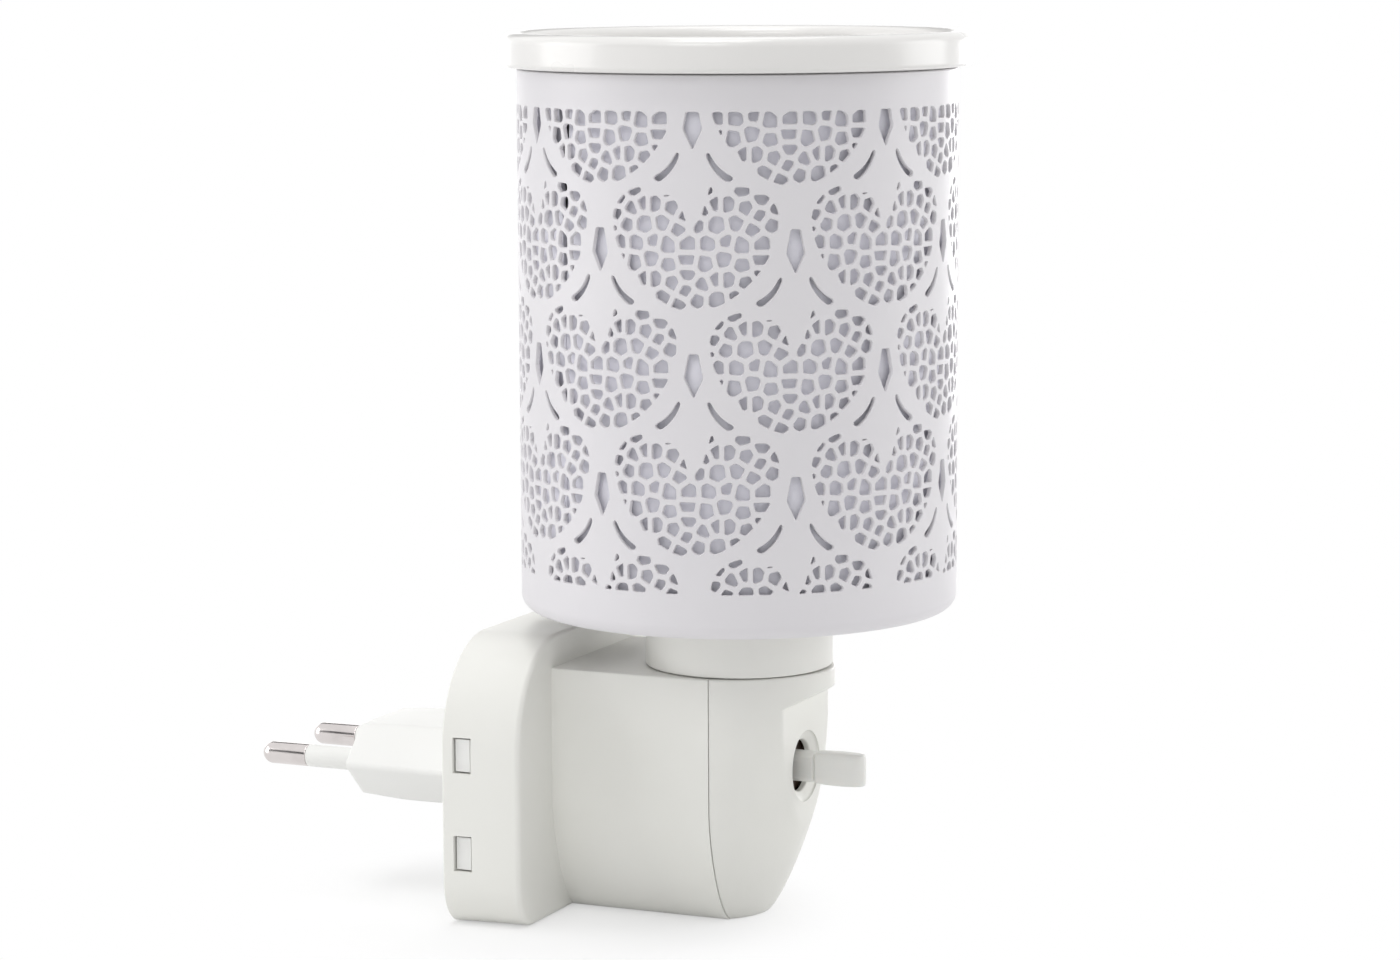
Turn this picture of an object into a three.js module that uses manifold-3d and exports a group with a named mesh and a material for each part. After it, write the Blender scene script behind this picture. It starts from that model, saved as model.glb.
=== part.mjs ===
// Plug-in electric aroma lamp: millimetres, +x right, +y toward the wall socket, +z up.
// The lamp's axis is the z axis and the flat underside lies at z = 0.
import * as THREE from 'three';
import { mergeVertices } from 'three/addons/utils/BufferGeometryUtils.js';
import Module from 'manifold-3d';

const wasm = await Module();
wasm.setup();

// Clearances and facets
const SEAT_GAP = 0.3;
const SLIDE_GAP = 0.4;
const CUT_MARGIN = 1;
const ROUND_SEGMENTS = 24;
const SHADE_SEGMENTS = 28;
const DISH_SEGMENTS = 36;
const SMALL_SEGMENTS = 12;

// Housing: a tunnel with a round front, split by a seam into a front cover and a rear housing
const HOUSING_RADIUS = 17;
const HOUSING_HEIGHT = 43.6;
const HOUSING_WALL = 2;
const FLOOR_HALF_WIDTH = 8;
const FLOOR_FRONT_REACH = 5;
const SIDE_CURVE_HEIGHT = 20.6;
const SIDE_CURVE_POWER = 1.6;
const FRONT_CURVE_HEIGHT = 34;
const FRONT_CURVE_POWER = 1.25;
const SEAM_Y = -1.5;
const HOUSING_LEVELS = 8;

// Flat recess on the front, with the hole for the switch key
const RECESS_Y = -12.5;
const RECESS_RIM = 5.6;
const RECESS_SLOPE = 0.6;
const SWITCH_HOLE_RADIUS = 6.1;
const SWITCH_HOLE_CHAMFER = 0.9;

// Flange behind the housing
const FLANGE_FRONT_Y = 28;
const FLANGE_DEPTH = 14;
const FLANGE_HALF_WIDTH = 30;
const FLANGE_HEIGHT = 49.2;
const FLANGE_DRAFT = 1.4;
const FLANGE_EDGE = 0.8;
const FLANGE_WALL = 2;
const FLANGE_LOWER_CORNER = [5.5, 7.5];
const FLANGE_UPPER_CORNER = [16, 19];

// Latch windows in the flange's sides
const WINDOW_HEIGHT = 6.2;
const WINDOW_DEPTH = 3.3;
const WINDOW_BACK_MARGIN = 1.3;
const WINDOW_LOWER_Z = 12.9;
const WINDOW_UPPER_Z = 30;
const LATCH_RECESS = 0.9;

// Plug plate, plug body and pins
const PLATE_THICKNESS = 2.2;
const SKIRT_DEPTH = 3;
const SKIRT_WALL = 1.6;
const PLUG_Z = 22.6;
const PLUG_LENGTH = 28.5;
const PLUG_HALF_WIDTH = 15;
const PLUG_HALF_HEIGHT = 6.85;
const PLUG_RIDGE = 6.4;
const PLUG_TAPER_LENGTH = 7;
const PLUG_TAPER = 1;
const PIN_SPACING = 18.6;
const PIN_DIAMETER = 4;
const PIN_LENGTH = 19;
const SLEEVE_LENGTH = 10;
const PIN_CORE_DIAMETER = 2.4;
const PIN_TAIL = 8;
const TERMINAL_LENGTH = 9;
const TERMINAL_WALL = 0.5;
const WIRE_DIAMETER = 1.6;
const WIRE_BEND = 4.8;
const WIRE_SIDES = 8;
const WIRE_STEPS = 18;

// Cover screws
const SCREW_X = 10;
const SCREW_Z = 12;
const SCREW_DIAMETER = 2.6;
const SCREW_HEAD_DIAMETER = 5;
const SCREW_HEAD_HEIGHT = 1.8;
const BOSS_RADIUS = 3;
const BOSS_LENGTH = 10.5;
const SCREW_REACH = 3;
const BOSS_RIB = 2;

// Rotary switch
const SWITCH_CLEARANCE = 1;
const SWITCH_LENGTH = 18;
const SWITCH_BODY_RADIUS = 7.2;
const SWITCH_WALL = 1.6;
const ROTOR_LENGTH = 12;
const BRIDGE_DIAMETER = 1.8;
const BRIDGE_Y = -1;
const BLADE_THICKNESS = 0.6;
const BLADE_WIDTH = 4;
const BLADE_REACH = 3.2;
const WASHER_THICKNESS = 0.5;
const WASHER_BORE_RADIUS = 2.6;
const KEY_HEIGHT = 5.8;
const KEY_THICKNESS = 4;
const KEY_LENGTH = 10;
const KEY_ROUND = 0.8;
const KEY_SQUARENESS = 0.6;
const KEY_STEM_HEIGHT = 5.2;
const KEY_STEM_THICKNESS = 3.4;
const KEY_SOCKET_DEPTH = 4;

// Lamp holder
const COLLAR_RADIUS = 16.2;
const COLLAR_HEIGHT = 11.3;
const NECK_RADIUS = 9.2;
const NECK_FOOT_RADIUS = 10.3;
const NECK_FOOT_HEIGHT = 5;
const SPIGOT_HEIGHT = 6.5;
const HOLDER_FLOOR = 2.7;
const SHELL_RADIUS = 7.8;
const SHELL_WALL = 0.5;
const SHELL_HEIGHT = 16;
const SHELL_FOOT_RADIUS = 4.5;
const RIVET_HEAD_HEIGHT = 1;
const RIVET_DIAMETER = 2.4;
const RIVET_TAIL = 1.7;
const CENTRE_HEAD_RADIUS = 3.2;
const SHELL_RIVET_X = 6;
const SHELL_RIVET_HEAD_RADIUS = 1.4;

// Bulb
const CAP_HEIGHT = 17;
const CAP_WALL = 0.5;
const INSULATOR_HEIGHT = 3;
const TIP_HEIGHT = 1.4;
const TIP_RADIUS = 2.8;
const GLASS_RADIUS = 11;
const GLASS_WALL = 0.8;
const GLASS_HEIGHT = 32;
const GLASS_NECK = 10;
const GLASS_SEGMENTS = 20;
const BULB_CLEARANCE = 2.2;
const STEM_RADIUS = 2;
const STEM_HEIGHT = 15;
const FILAMENT_DIAMETER = 0.7;
const FILAMENT_SPAN = 10;
const FILAMENT_RISE = 12;
const FILAMENT_SAG = 1.5;
const LEAD_SPACING = 2.4;
const LEAD_STUB = 1;
const FILAMENT_SIDES = 6;
const FILAMENT_STEPS = 28;

// Shade, liner and dish
const SHADE_RADIUS = 37.5;
const SHADE_WALL = 0.7;
const SHADE_HEIGHT = 91.8;
const SHADE_CORNER = 4.3;
const SHADE_LIP = 3.2;
const LINER_SPACE = 1.5;
const LINER_WALL = 0.7;
const LINER_HEIGHT = 85;
const LINER_SEAM = 3;
const LINER_SEAM_TURN = 145;
const DISH_RADIUS = 40;
const DISH_RIM_HEIGHT = 5.9;
const DISH_DEPTH = 9;
const DISH_FLOOR = 3;
const DISH_FLOOR_RADIUS = 25;
const DISH_SPIGOT_DEPTH = 2.5;
const DISH_RIM_WIDTH = 3.6;
const DISH_RIM_ROUND = 1.8;
const DISH_LIP_ROUND = 0.6;

// Punched pattern: staggered rows of hearts, drawn with coarse mosaic openings
const PATTERN_COLUMNS = 7;
const PATTERN_TURN = 37.8;
const PATTERN_FOOT = 7.2;
const PATTERN_HEIGHT = 78.7;
const PATTERN_FIRST_ROW = -14.2;
const ROW_PITCH = 20.2;
const ROWS = 5;
const HEART_WIDTH = 29.5;
const HEART_HEIGHT = 19.6;
const HEART_NOTCH = 3.4;
const HEART_WIDEST = 0.55;
const HEART_SPREAD = 0.53;
const MOSAIC_BANDS = [{ from: 0.06, to: 0.34 }, { from: 0.34, to: 0.7 }, { from: 0.7, to: 1 }];
const MOSAIC_CELLS = 2;
const MOSAIC_BAR = 1.1;
const DIAMOND_WIDTH = 3;
const DIAMOND_HEIGHT = 7.2;
const DIAMOND_RISE = 9.7;
const LEAF_LENGTH = 5.6;
const LEAF_WIDTH = 1.2;
const LEAF_OFFSET = 4.4;
const LEAF_RISE = 3.3;
const LEAF_SLANT = 48;
const LEAF_BOW = 0.5;

// Places that follow from the sizes above
const RECESS_TOP = HOUSING_HEIGHT - RECESS_RIM;
const FLANGE_BACK_Y = FLANGE_FRONT_Y + FLANGE_DEPTH;
const PLATE_FRONT_Y = FLANGE_BACK_Y - PLATE_THICKNESS;
const PLUG_FACE_Y = FLANGE_BACK_Y + PLUG_LENGTH;
const PIN_X = PIN_SPACING / 2;
const PIN_RADIUS = PIN_DIAMETER / 2;
const PIN_CORE_RADIUS = PIN_CORE_DIAMETER / 2;
const PIN_BORE_RADIUS = PIN_CORE_RADIUS + SEAT_GAP;
const PIN_TAIL_Y = PLATE_FRONT_Y - PIN_TAIL;
const COLLAR_BOTTOM = HOUSING_HEIGHT + SEAT_GAP;
const COLLAR_TOP = COLLAR_BOTTOM + COLLAR_HEIGHT;
const SHADE_SEAT = COLLAR_TOP + SEAT_GAP;
const SHADE_BOTTOM = SHADE_SEAT - SEAT_GAP - SHADE_WALL;
const SHADE_TOP = SHADE_BOTTOM + SHADE_HEIGHT;
const SHADE_INNER_RADIUS = SHADE_RADIUS - SHADE_WALL;
const SHADE_CORNER_R = SHADE_RADIUS - SHADE_CORNER;
const SHADE_CORNER_Z = SHADE_BOTTOM + SHADE_CORNER;
const SPIGOT_RADIUS = GLASS_RADIUS + BULB_CLEARANCE;
const SHADE_HOLE_RADIUS = SPIGOT_RADIUS + SLIDE_GAP;
const NECK_TOP = HOUSING_HEIGHT - HOUSING_WALL - SEAT_GAP;
const HOLDER_BOTTOM = NECK_TOP - NECK_FOOT_HEIGHT;
const HOLDER_FLOOR_TOP = HOLDER_BOTTOM + HOLDER_FLOOR;
const HOLDER_BORE_RADIUS = SHELL_RADIUS + SEAT_GAP;
const CONTACT_TOP = HOLDER_FLOOR_TOP + SEAT_GAP + RIVET_HEAD_HEIGHT;
const SHELL_BOTTOM = CONTACT_TOP + SEAT_GAP;
const RIVET_RADIUS = RIVET_DIAMETER / 2;
const RIVET_END = HOLDER_BOTTOM - RIVET_TAIL;
const TIP_BOTTOM = CONTACT_TOP + SEAT_GAP;
const INSULATOR_BOTTOM = TIP_BOTTOM + TIP_HEIGHT + SEAT_GAP;
const CAP_BOTTOM = INSULATOR_BOTTOM + INSULATOR_HEIGHT + SEAT_GAP;
const CAP_TOP = CAP_BOTTOM + CAP_HEIGHT;
const CAP_RADIUS = SHELL_RADIUS - SHELL_WALL - SLIDE_GAP;
const GLASS_NECK_RADIUS = CAP_RADIUS - CAP_WALL - SEAT_GAP;
const GLASS_BOTTOM = CAP_TOP - GLASS_NECK;
const GLASS_TOP = CAP_TOP + GLASS_HEIGHT;
const STEM_TOP = GLASS_BOTTOM + STEM_HEIGHT;
const SWITCH_Z = RIVET_END - SWITCH_CLEARANCE - SWITCH_BODY_RADIUS;
const SWITCH_FRONT_Y = RECESS_Y + HOUSING_WALL + SEAT_GAP;
const SWITCH_BACK_Y = SWITCH_FRONT_Y + SWITCH_LENGTH;
const SWITCH_BORE_RADIUS = SWITCH_BODY_RADIUS - SWITCH_WALL;
const ROTOR_RADIUS = SWITCH_BORE_RADIUS - SLIDE_GAP;
const ROTOR_FRONT_Y = SWITCH_FRONT_Y + SLIDE_GAP;
const ROTOR_BACK_Y = ROTOR_FRONT_Y + ROTOR_LENGTH;
const BLADE_END_X = SWITCH_BODY_RADIUS + BLADE_REACH;
const WIRE_RADIUS = WIRE_DIAMETER / 2;
const LINER_RADIUS = SHADE_INNER_RADIUS - LINER_SPACE;
const DISH_SEAT = SHADE_TOP + SEAT_GAP;
const DISH_TOP = DISH_SEAT + DISH_RIM_HEIGHT;
const DISH_SPIGOT_RADIUS = SHADE_INNER_RADIUS - SLIDE_GAP;

const MATERIALS = {
  base: { color: 0xf1f2ea, roughness: 0.55, metalness: 0 },
  key: { color: 0xe4e5de, roughness: 0.4, metalness: 0 },
  shade: { color: 0xf3f1f4, roughness: 0.5, metalness: 0.1 },
  liner: { color: 0xdedee8, roughness: 0.7, metalness: 0 },
  dish: { color: 0xf6f4f0, roughness: 0.25, metalness: 0 },
  nickel: { color: 0xc9c5bd, roughness: 0.25, metalness: 1 },
  brass: { color: 0xc8a560, roughness: 0.35, metalness: 1 },
  steel: { color: 0xa8abae, roughness: 0.4, metalness: 1 },
  bakelite: { color: 0x2c211b, roughness: 0.5, metalness: 0 },
  glass: { color: 0xeef3f4, roughness: 0.05, metalness: 0 },
  brownWire: { color: 0x6b4329, roughness: 0.5, metalness: 0 },
  blueWire: { color: 0x3a5f9e, roughness: 0.5, metalness: 0 },
};

// Solids
function toSolid(geometry) {
  geometry.deleteAttribute('normal');
  geometry.deleteAttribute('uv');
  const merged = mergeVertices(geometry, 1e-4);
  const corners = merged.index.array;
  const triangles = [];
  for (let i = 0; i < corners.length; i += 3) {
    const [a, b, c] = corners.slice(i, i + 3);
    if (a !== b && b !== c && c !== a) triangles.push(a, b, c);
  }
  return new wasm.Manifold(new wasm.Mesh({
    numProp: 3,
    vertProperties: new Float32Array(merged.attributes.position.array),
    triVerts: new Uint32Array(triangles),
  }));
}

function joined(solids) {
  return solids.reduce((sum, solid) => sum.add(solid));
}

function box(x0, x1, y0, y1, z0, z1) {
  const geometry = new THREE.BoxGeometry(x1 - x0, y1 - y0, z1 - z0);
  geometry.translate((x0 + x1) / 2, (y0 + y1) / 2, (z0 + z1) / 2);
  return toSolid(geometry);
}

// Turned about the z axis: the profile of [radius, z] pairs runs up the outside and ends on the axis
function turned(profile, segments = ROUND_SEGMENTS) {
  const points = profile.map(([r, z]) => new THREE.Vector2(r, z));
  return toSolid(new THREE.LatheGeometry(points, segments).rotateX(Math.PI / 2));
}

function turnedRing(profile, segments = ROUND_SEGMENTS) {
  return turned([...profile, profile[0]], segments);
}

// Turned about a line along y through (x, z): the profile holds [radius, y] pairs with y rising
function turnedAlongY(profile, x, z, segments = SMALL_SEGMENTS) {
  const points = profile.map(([r, y]) => new THREE.Vector2(r, y));
  return toSolid(new THREE.LatheGeometry(points, segments).translate(x, 0, z));
}

function rodAlongY(radius, x, z, y0, y1, segments = SMALL_SEGMENTS) {
  return turnedAlongY([[0, y0], [radius, y0], [radius, y1], [0, y1]], x, z, segments);
}

function arc(centreR, centreZ, radiusR, radiusZ, fromDegrees, toDegrees, steps) {
  return Array.from({ length: steps + 1 }, (_, i) => {
    const angle = THREE.MathUtils.degToRad(fromDegrees + (toDegrees - fromDegrees) * i / steps);
    return [centreR + radiusR * Math.cos(angle), centreZ + radiusZ * Math.sin(angle)];
  });
}

// A stack of rings with equal point counts, closed by a fan at each end
function stacked(rings) {
  const count = rings[0].length;
  const positions = rings.flat().flatMap((p) => [p.x, p.y, p.z]);
  for (const ring of [rings[0], rings.at(-1)]) {
    const middle = ring.reduce((sum, p) => sum.add(p), new THREE.Vector3()).divideScalar(count);
    positions.push(middle.x, middle.y, middle.z);
  }
  const firstHub = rings.length * count;
  const lastHub = firstHub + 1;
  const lastRing = (rings.length - 1) * count;
  const index = [];
  for (let i = 0; i < count; i++) {
    const next = (i + 1) % count;
    for (let level = 0; level < rings.length - 1; level++) {
      const a = level * count;
      const b = a + count;
      index.push(a + i, a + next, b + next, a + i, b + next, b + i);
    }
    index.push(firstHub, next, i, lastHub, lastRing + i, lastRing + next);
  }
  const geometry = new THREE.BufferGeometry();
  geometry.setAttribute('position', new THREE.Float32BufferAttribute(positions, 3));
  geometry.setIndex(index);
  return toSolid(geometry);
}

function tube(points, radius, sides, steps) {
  const section = new THREE.Shape(arc(0, 0, radius, radius, 0, 360 - 360 / sides, sides - 1)
    .map(([x, y]) => new THREE.Vector2(x, y)));
  const path = new THREE.CatmullRomCurve3(points.map((p) => new THREE.Vector3(...p)));
  return toSolid(new THREE.ExtrudeGeometry(section, { extrudePath: path, steps }));
}

// Housing
function swell(floor, full, z, height, power) {
  const left = Math.max(0, 1 - z / height);
  return floor + (full - floor) * (1 - left ** power) ** (1 / power);
}

// Plan outline at height z, drawn in by inset, from the open rear round the front and back
function housingRing(z, inset, rearY) {
  const halfWidth = swell(FLOOR_HALF_WIDTH, HOUSING_RADIUS, z, SIDE_CURVE_HEIGHT, SIDE_CURVE_POWER) - inset;
  const reach = swell(FLOOR_FRONT_REACH, HOUSING_RADIUS, z, FRONT_CURVE_HEIGHT, FRONT_CURVE_POWER) - inset;
  const front = arc(0, 0, halfWidth, reach, 180, 360, ROUND_SEGMENTS / 2);
  const plan = [[halfWidth, rearY], [-halfWidth, rearY], ...front];
  return plan.map(([x, y]) => new THREE.Vector3(x, y, z));
}

function housingBlock(inset, bottom, top, rearY) {
  const rings = Array.from({ length: HOUSING_LEVELS }, (_, i) => {
    const z = bottom + (FRONT_CURVE_HEIGHT - bottom) * (i / (HOUSING_LEVELS - 1)) ** 2;
    return housingRing(z, inset, rearY);
  });
  return stacked([...rings, housingRing(top, inset, rearY)]);
}

function recessCutter() {
  const outerY = -HOUSING_RADIUS - CUT_MARGIN;
  const halfWidth = HOUSING_RADIUS + CUT_MARGIN;
  const section = (y) => {
    const top = RECESS_TOP + RECESS_SLOPE * (RECESS_Y - y);
    return [[halfWidth, -CUT_MARGIN], [halfWidth, top], [-halfWidth, top], [-halfWidth, -CUT_MARGIN]]
      .map(([x, z]) => new THREE.Vector3(x, y, z));
  };
  return stacked([section(RECESS_Y), section(outerY)]);
}

function housingShell(rearY) {
  const openY = rearY + CUT_MARGIN;
  const wallY = RECESS_Y + HOUSING_WALL;
  const behindRecess = box(-HOUSING_RADIUS, HOUSING_RADIUS, wallY, openY, 0, HOUSING_HEIGHT);
  const inside = housingBlock(HOUSING_WALL, HOUSING_WALL, HOUSING_HEIGHT - HOUSING_WALL, openY)
    .intersect(behindRecess);
  const holeRadius = NECK_RADIUS + SEAT_GAP;
  const neckHole = turned([[0, NECK_TOP], [holeRadius, NECK_TOP], [holeRadius, COLLAR_TOP], [0, COLLAR_TOP]]);
  return housingBlock(0, 0, HOUSING_HEIGHT, rearY)
    .subtract(recessCutter())
    .subtract(inside)
    .subtract(neckHole);
}

// Bosses of both screws with ribs to the floor, trimmed to the housing's outside
function screwBosses(y0, y1) {
  const outside = housingBlock(0, 0, HOUSING_HEIGHT, FLANGE_FRONT_Y).subtract(recessCutter());
  const bosses = [-SCREW_X, SCREW_X].map((x) => {
    const rib = box(x - BOSS_RIB / 2, x + BOSS_RIB / 2, y0, y1, 0, SCREW_Z);
    return rodAlongY(BOSS_RADIUS, x, SCREW_Z, y0, y1).add(rib);
  });
  return joined(bosses).intersect(outside);
}

function screwHole(x) {
  const start = SEAM_Y - SCREW_REACH - SEAT_GAP;
  return rodAlongY(SCREW_DIAMETER / 2 + SEAT_GAP, x, SCREW_Z, start, SEAM_Y + BOSS_LENGTH + CUT_MARGIN);
}

function frontCover() {
  const seam = SEAM_Y - SEAT_GAP / 2;
  const reach = HOUSING_RADIUS + CUT_MARGIN;
  const half = box(-reach, reach, -reach, seam, -CUT_MARGIN, HOUSING_HEIGHT + CUT_MARGIN);
  const mouthY = RECESS_Y - CUT_MARGIN;
  const switchHole = turnedAlongY([
    [0, mouthY],
    [SWITCH_HOLE_RADIUS + SWITCH_HOLE_CHAMFER + CUT_MARGIN, mouthY],
    [SWITCH_HOLE_RADIUS, RECESS_Y + SWITCH_HOLE_CHAMFER],
    [SWITCH_HOLE_RADIUS, SWITCH_FRONT_Y],
    [0, SWITCH_FRONT_Y],
  ], 0, SWITCH_Z, ROUND_SEGMENTS);
  return housingShell(FLANGE_FRONT_Y).intersect(half)
    .add(screwBosses(-HOUSING_RADIUS, seam))
    .subtract(switchHole)
    .subtract(joined([-SCREW_X, SCREW_X].map(screwHole)));
}

// Flange outline at depth y, drawn in by inset, in rings that run from the wall side to the front
function flangeRing(y, inset) {
  const half = FLANGE_HALF_WIDTH + FLANGE_DRAFT * (y - FLANGE_FRONT_Y) / FLANGE_DEPTH - inset;
  const [lowX, lowZ] = FLANGE_LOWER_CORNER.map((size) => size - inset);
  const [highX, highZ] = FLANGE_UPPER_CORNER.map((size) => size - inset);
  const side = [
    ...arc(half - lowX, inset + lowZ, lowX, lowZ, -90, 0, 5),
    ...arc(half - highX, FLANGE_HEIGHT - inset - highZ, highX, highZ, 0, 90, 8),
  ];
  const mirrored = side.map(([x, z]) => [-x, z]).reverse();
  return [...side, ...mirrored].map(([x, z]) => new THREE.Vector3(x, y, z));
}

function flangeBlock(inset, backY, frontY) {
  return stacked([flangeRing(backY, inset), flangeRing(frontY, inset)]);
}

function windowSpans() {
  const backY = FLANGE_BACK_Y - WINDOW_BACK_MARGIN;
  return [WINDOW_LOWER_Z, WINDOW_UPPER_Z].map((z) => ({
    y0: backY - WINDOW_DEPTH,
    y1: backY,
    z0: z - WINDOW_HEIGHT / 2,
    z1: z + WINDOW_HEIGHT / 2,
  }));
}

function rearHousing() {
  const seam = SEAM_Y + SEAT_GAP / 2;
  const cavityFrontY = FLANGE_FRONT_Y + FLANGE_WALL;
  const flange = stacked([
    flangeRing(FLANGE_BACK_Y, 0),
    flangeRing(FLANGE_FRONT_Y + FLANGE_EDGE, 0),
    flangeRing(FLANGE_FRONT_Y, FLANGE_EDGE),
  ]);
  const mouthY = cavityFrontY + CUT_MARGIN;
  const tunnelMouth = housingBlock(HOUSING_WALL, HOUSING_WALL, HOUSING_HEIGHT - HOUSING_WALL, mouthY)
    .intersect(box(-HOUSING_RADIUS, HOUSING_RADIUS, 0, mouthY, 0, HOUSING_HEIGHT));
  const reach = FLANGE_HALF_WIDTH + FLANGE_DRAFT + CUT_MARGIN;
  const backY = FLANGE_BACK_Y + CUT_MARGIN;
  const rearHalf = box(-reach, reach, seam, backY, -CUT_MARGIN, FLANGE_HEIGHT + CUT_MARGIN);
  const windows = windowSpans().map(({ y0, y1, z0, z1 }) => box(-reach, reach, y0, y1, z0, z1));
  return housingShell(FLANGE_FRONT_Y + FLANGE_EDGE).add(flange)
    .subtract(flangeBlock(FLANGE_WALL, backY, cavityFrontY))
    .subtract(tunnelMouth)
    .intersect(rearHalf)
    .add(screwBosses(seam, SEAM_Y + BOSS_LENGTH))
    .subtract(joined(windows))
    .subtract(joined([-SCREW_X, SCREW_X].map(screwHole)));
}

// Plug
function plugRing(y, inset) {
  const halfWidth = PLUG_HALF_WIDTH - inset;
  const halfHeight = PLUG_HALF_HEIGHT - inset;
  const flat = halfWidth - PLUG_RIDGE;
  const outline = [
    [halfWidth, 0], [flat, halfHeight], [-flat, halfHeight],
    [-halfWidth, 0], [-flat, -halfHeight], [flat, -halfHeight],
  ];
  return outline.map(([x, z]) => new THREE.Vector3(x, y, PLUG_Z + z));
}

function plugPlate() {
  const inset = FLANGE_WALL + SEAT_GAP;
  const skirtFrontY = PLATE_FRONT_Y - SKIRT_DEPTH;
  const plate = flangeBlock(inset, FLANGE_BACK_Y, skirtFrontY)
    .subtract(flangeBlock(inset + SKIRT_WALL, PLATE_FRONT_Y, skirtFrontY - CUT_MARGIN));
  const body = stacked([
    plugRing(PLUG_FACE_Y, PLUG_TAPER),
    plugRing(PLUG_FACE_Y - PLUG_TAPER_LENGTH, 0),
    plugRing(PLATE_FRONT_Y, 0),
  ]);
  const latches = windowSpans().map(({ y0, y1, z0, z1 }) => {
    const middleY = (y0 + y1) / 2;
    const draft = FLANGE_DRAFT * (middleY - FLANGE_FRONT_Y) / FLANGE_DEPTH;
    const outer = FLANGE_HALF_WIDTH + draft - LATCH_RECESS;
    return box(-outer, outer, y0 + SEAT_GAP, y1 - SEAT_GAP, z0 + SEAT_GAP, z1 - SEAT_GAP);
  });
  const core = flangeBlock(inset + SKIRT_WALL / 2, PLATE_FRONT_Y, skirtFrontY - CUT_MARGIN);
  const tabs = joined(latches).subtract(core);
  const boreEndY = PLUG_FACE_Y + CUT_MARGIN;
  const bores = [-PIN_X, PIN_X].map(
    (x) => rodAlongY(PIN_BORE_RADIUS, x, PLUG_Z, skirtFrontY, boreEndY),
  );
  return joined([plate, body, tabs]).subtract(joined(bores));
}

function plugPin(x) {
  const shoulderY = PLUG_FACE_Y + SLEEVE_LENGTH;
  const tipY = PLUG_FACE_Y + PIN_LENGTH;
  const tip = arc(0, tipY - PIN_RADIUS, PIN_RADIUS, PIN_RADIUS, 0, 90, 4);
  const profile = [
    [0, PIN_TAIL_Y], [PIN_CORE_RADIUS, PIN_TAIL_Y], [PIN_CORE_RADIUS, shoulderY],
    [PIN_RADIUS, shoulderY], ...tip,
  ];
  return turnedAlongY(profile, x, PLUG_Z);
}

function tubeAlongY(inner, outer, x, z, y0, y1) {
  return turnedAlongY([[inner, y0], [outer, y0], [outer, y1], [inner, y1], [inner, y0]], x, z);
}

function pinSleeve(x) {
  const y0 = PLUG_FACE_Y + SEAT_GAP;
  return tubeAlongY(PIN_BORE_RADIUS, PIN_RADIUS, x, PLUG_Z, y0, y0 + SLEEVE_LENGTH - 2 * SEAT_GAP);
}

function pinTerminal(x) {
  const y1 = PLATE_FRONT_Y - SEAT_GAP;
  return tubeAlongY(PIN_BORE_RADIUS, PIN_BORE_RADIUS + TERMINAL_WALL, x, PLUG_Z, y1 - TERMINAL_LENGTH, y1);
}

function coverScrew(x) {
  const seatY = SEAM_Y + BOSS_LENGTH + SEAT_GAP;
  const headY = seatY + SCREW_HEAD_HEIGHT;
  const radius = SCREW_DIAMETER / 2;
  return turnedAlongY([
    [0, SEAM_Y - SCREW_REACH], [radius, SEAM_Y - SCREW_REACH], [radius, seatY],
    [SCREW_HEAD_DIAMETER / 2, seatY], [SCREW_HEAD_DIAMETER / 2, headY], [0, headY],
  ], x, SCREW_Z, SMALL_SEGMENTS);
}

// Switch
function bladeSpan() {
  return { y0: BRIDGE_Y - BLADE_WIDTH / 2, y1: BRIDGE_Y + BLADE_WIDTH / 2, half: BLADE_THICKNESS / 2 };
}

function switchBody() {
  const endWallY = SWITCH_BACK_Y - SWITCH_WALL;
  const cup = turnedAlongY([
    [0, endWallY], [SWITCH_BORE_RADIUS, endWallY], [SWITCH_BORE_RADIUS, SWITCH_FRONT_Y],
    [SWITCH_BODY_RADIUS, SWITCH_FRONT_Y], [SWITCH_BODY_RADIUS, SWITCH_BACK_Y], [0, SWITCH_BACK_Y],
  ], 0, SWITCH_Z, ROUND_SEGMENTS);
  const { y0, y1, half } = bladeSpan();
  const reach = SWITCH_BODY_RADIUS + CUT_MARGIN;
  const slot = box(-reach, reach, y0 - SEAT_GAP, y1 + SEAT_GAP,
    SWITCH_Z - half - SEAT_GAP, SWITCH_Z + half + SEAT_GAP);
  return cup.subtract(slot);
}

function switchContact(side) {
  const { y0, y1, half } = bladeSpan();
  const inner = SWITCH_BORE_RADIUS + SEAT_GAP;
  const [x0, x1] = side < 0 ? [-BLADE_END_X, -inner] : [inner, BLADE_END_X];
  return box(x0, x1, y0, y1, SWITCH_Z - half, SWITCH_Z + half);
}

function stemSection(grow) {
  return { x: KEY_STEM_THICKNESS / 2 + grow, z: KEY_STEM_HEIGHT / 2 + grow };
}

function switchRotor() {
  const socket = stemSection(SEAT_GAP);
  const drum = rodAlongY(ROTOR_RADIUS, 0, SWITCH_Z, ROTOR_FRONT_Y, ROTOR_BACK_Y, ROUND_SEGMENTS);
  const keySocket = box(-socket.x, socket.x, ROTOR_FRONT_Y - CUT_MARGIN, ROTOR_FRONT_Y + KEY_SOCKET_DEPTH,
    SWITCH_Z - socket.z, SWITCH_Z + socket.z);
  return drum.subtract(keySocket).subtract(bridgeRod(SEAT_GAP, ROTOR_RADIUS + CUT_MARGIN));
}

function bridgeRod(grow, halfLength) {
  const radius = BRIDGE_DIAMETER / 2 + grow;
  const rod = new THREE.CylinderGeometry(radius, radius, 2 * halfLength, SMALL_SEGMENTS);
  return toSolid(rod.rotateZ(Math.PI / 2).translate(0, BRIDGE_Y, SWITCH_Z));
}

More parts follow.
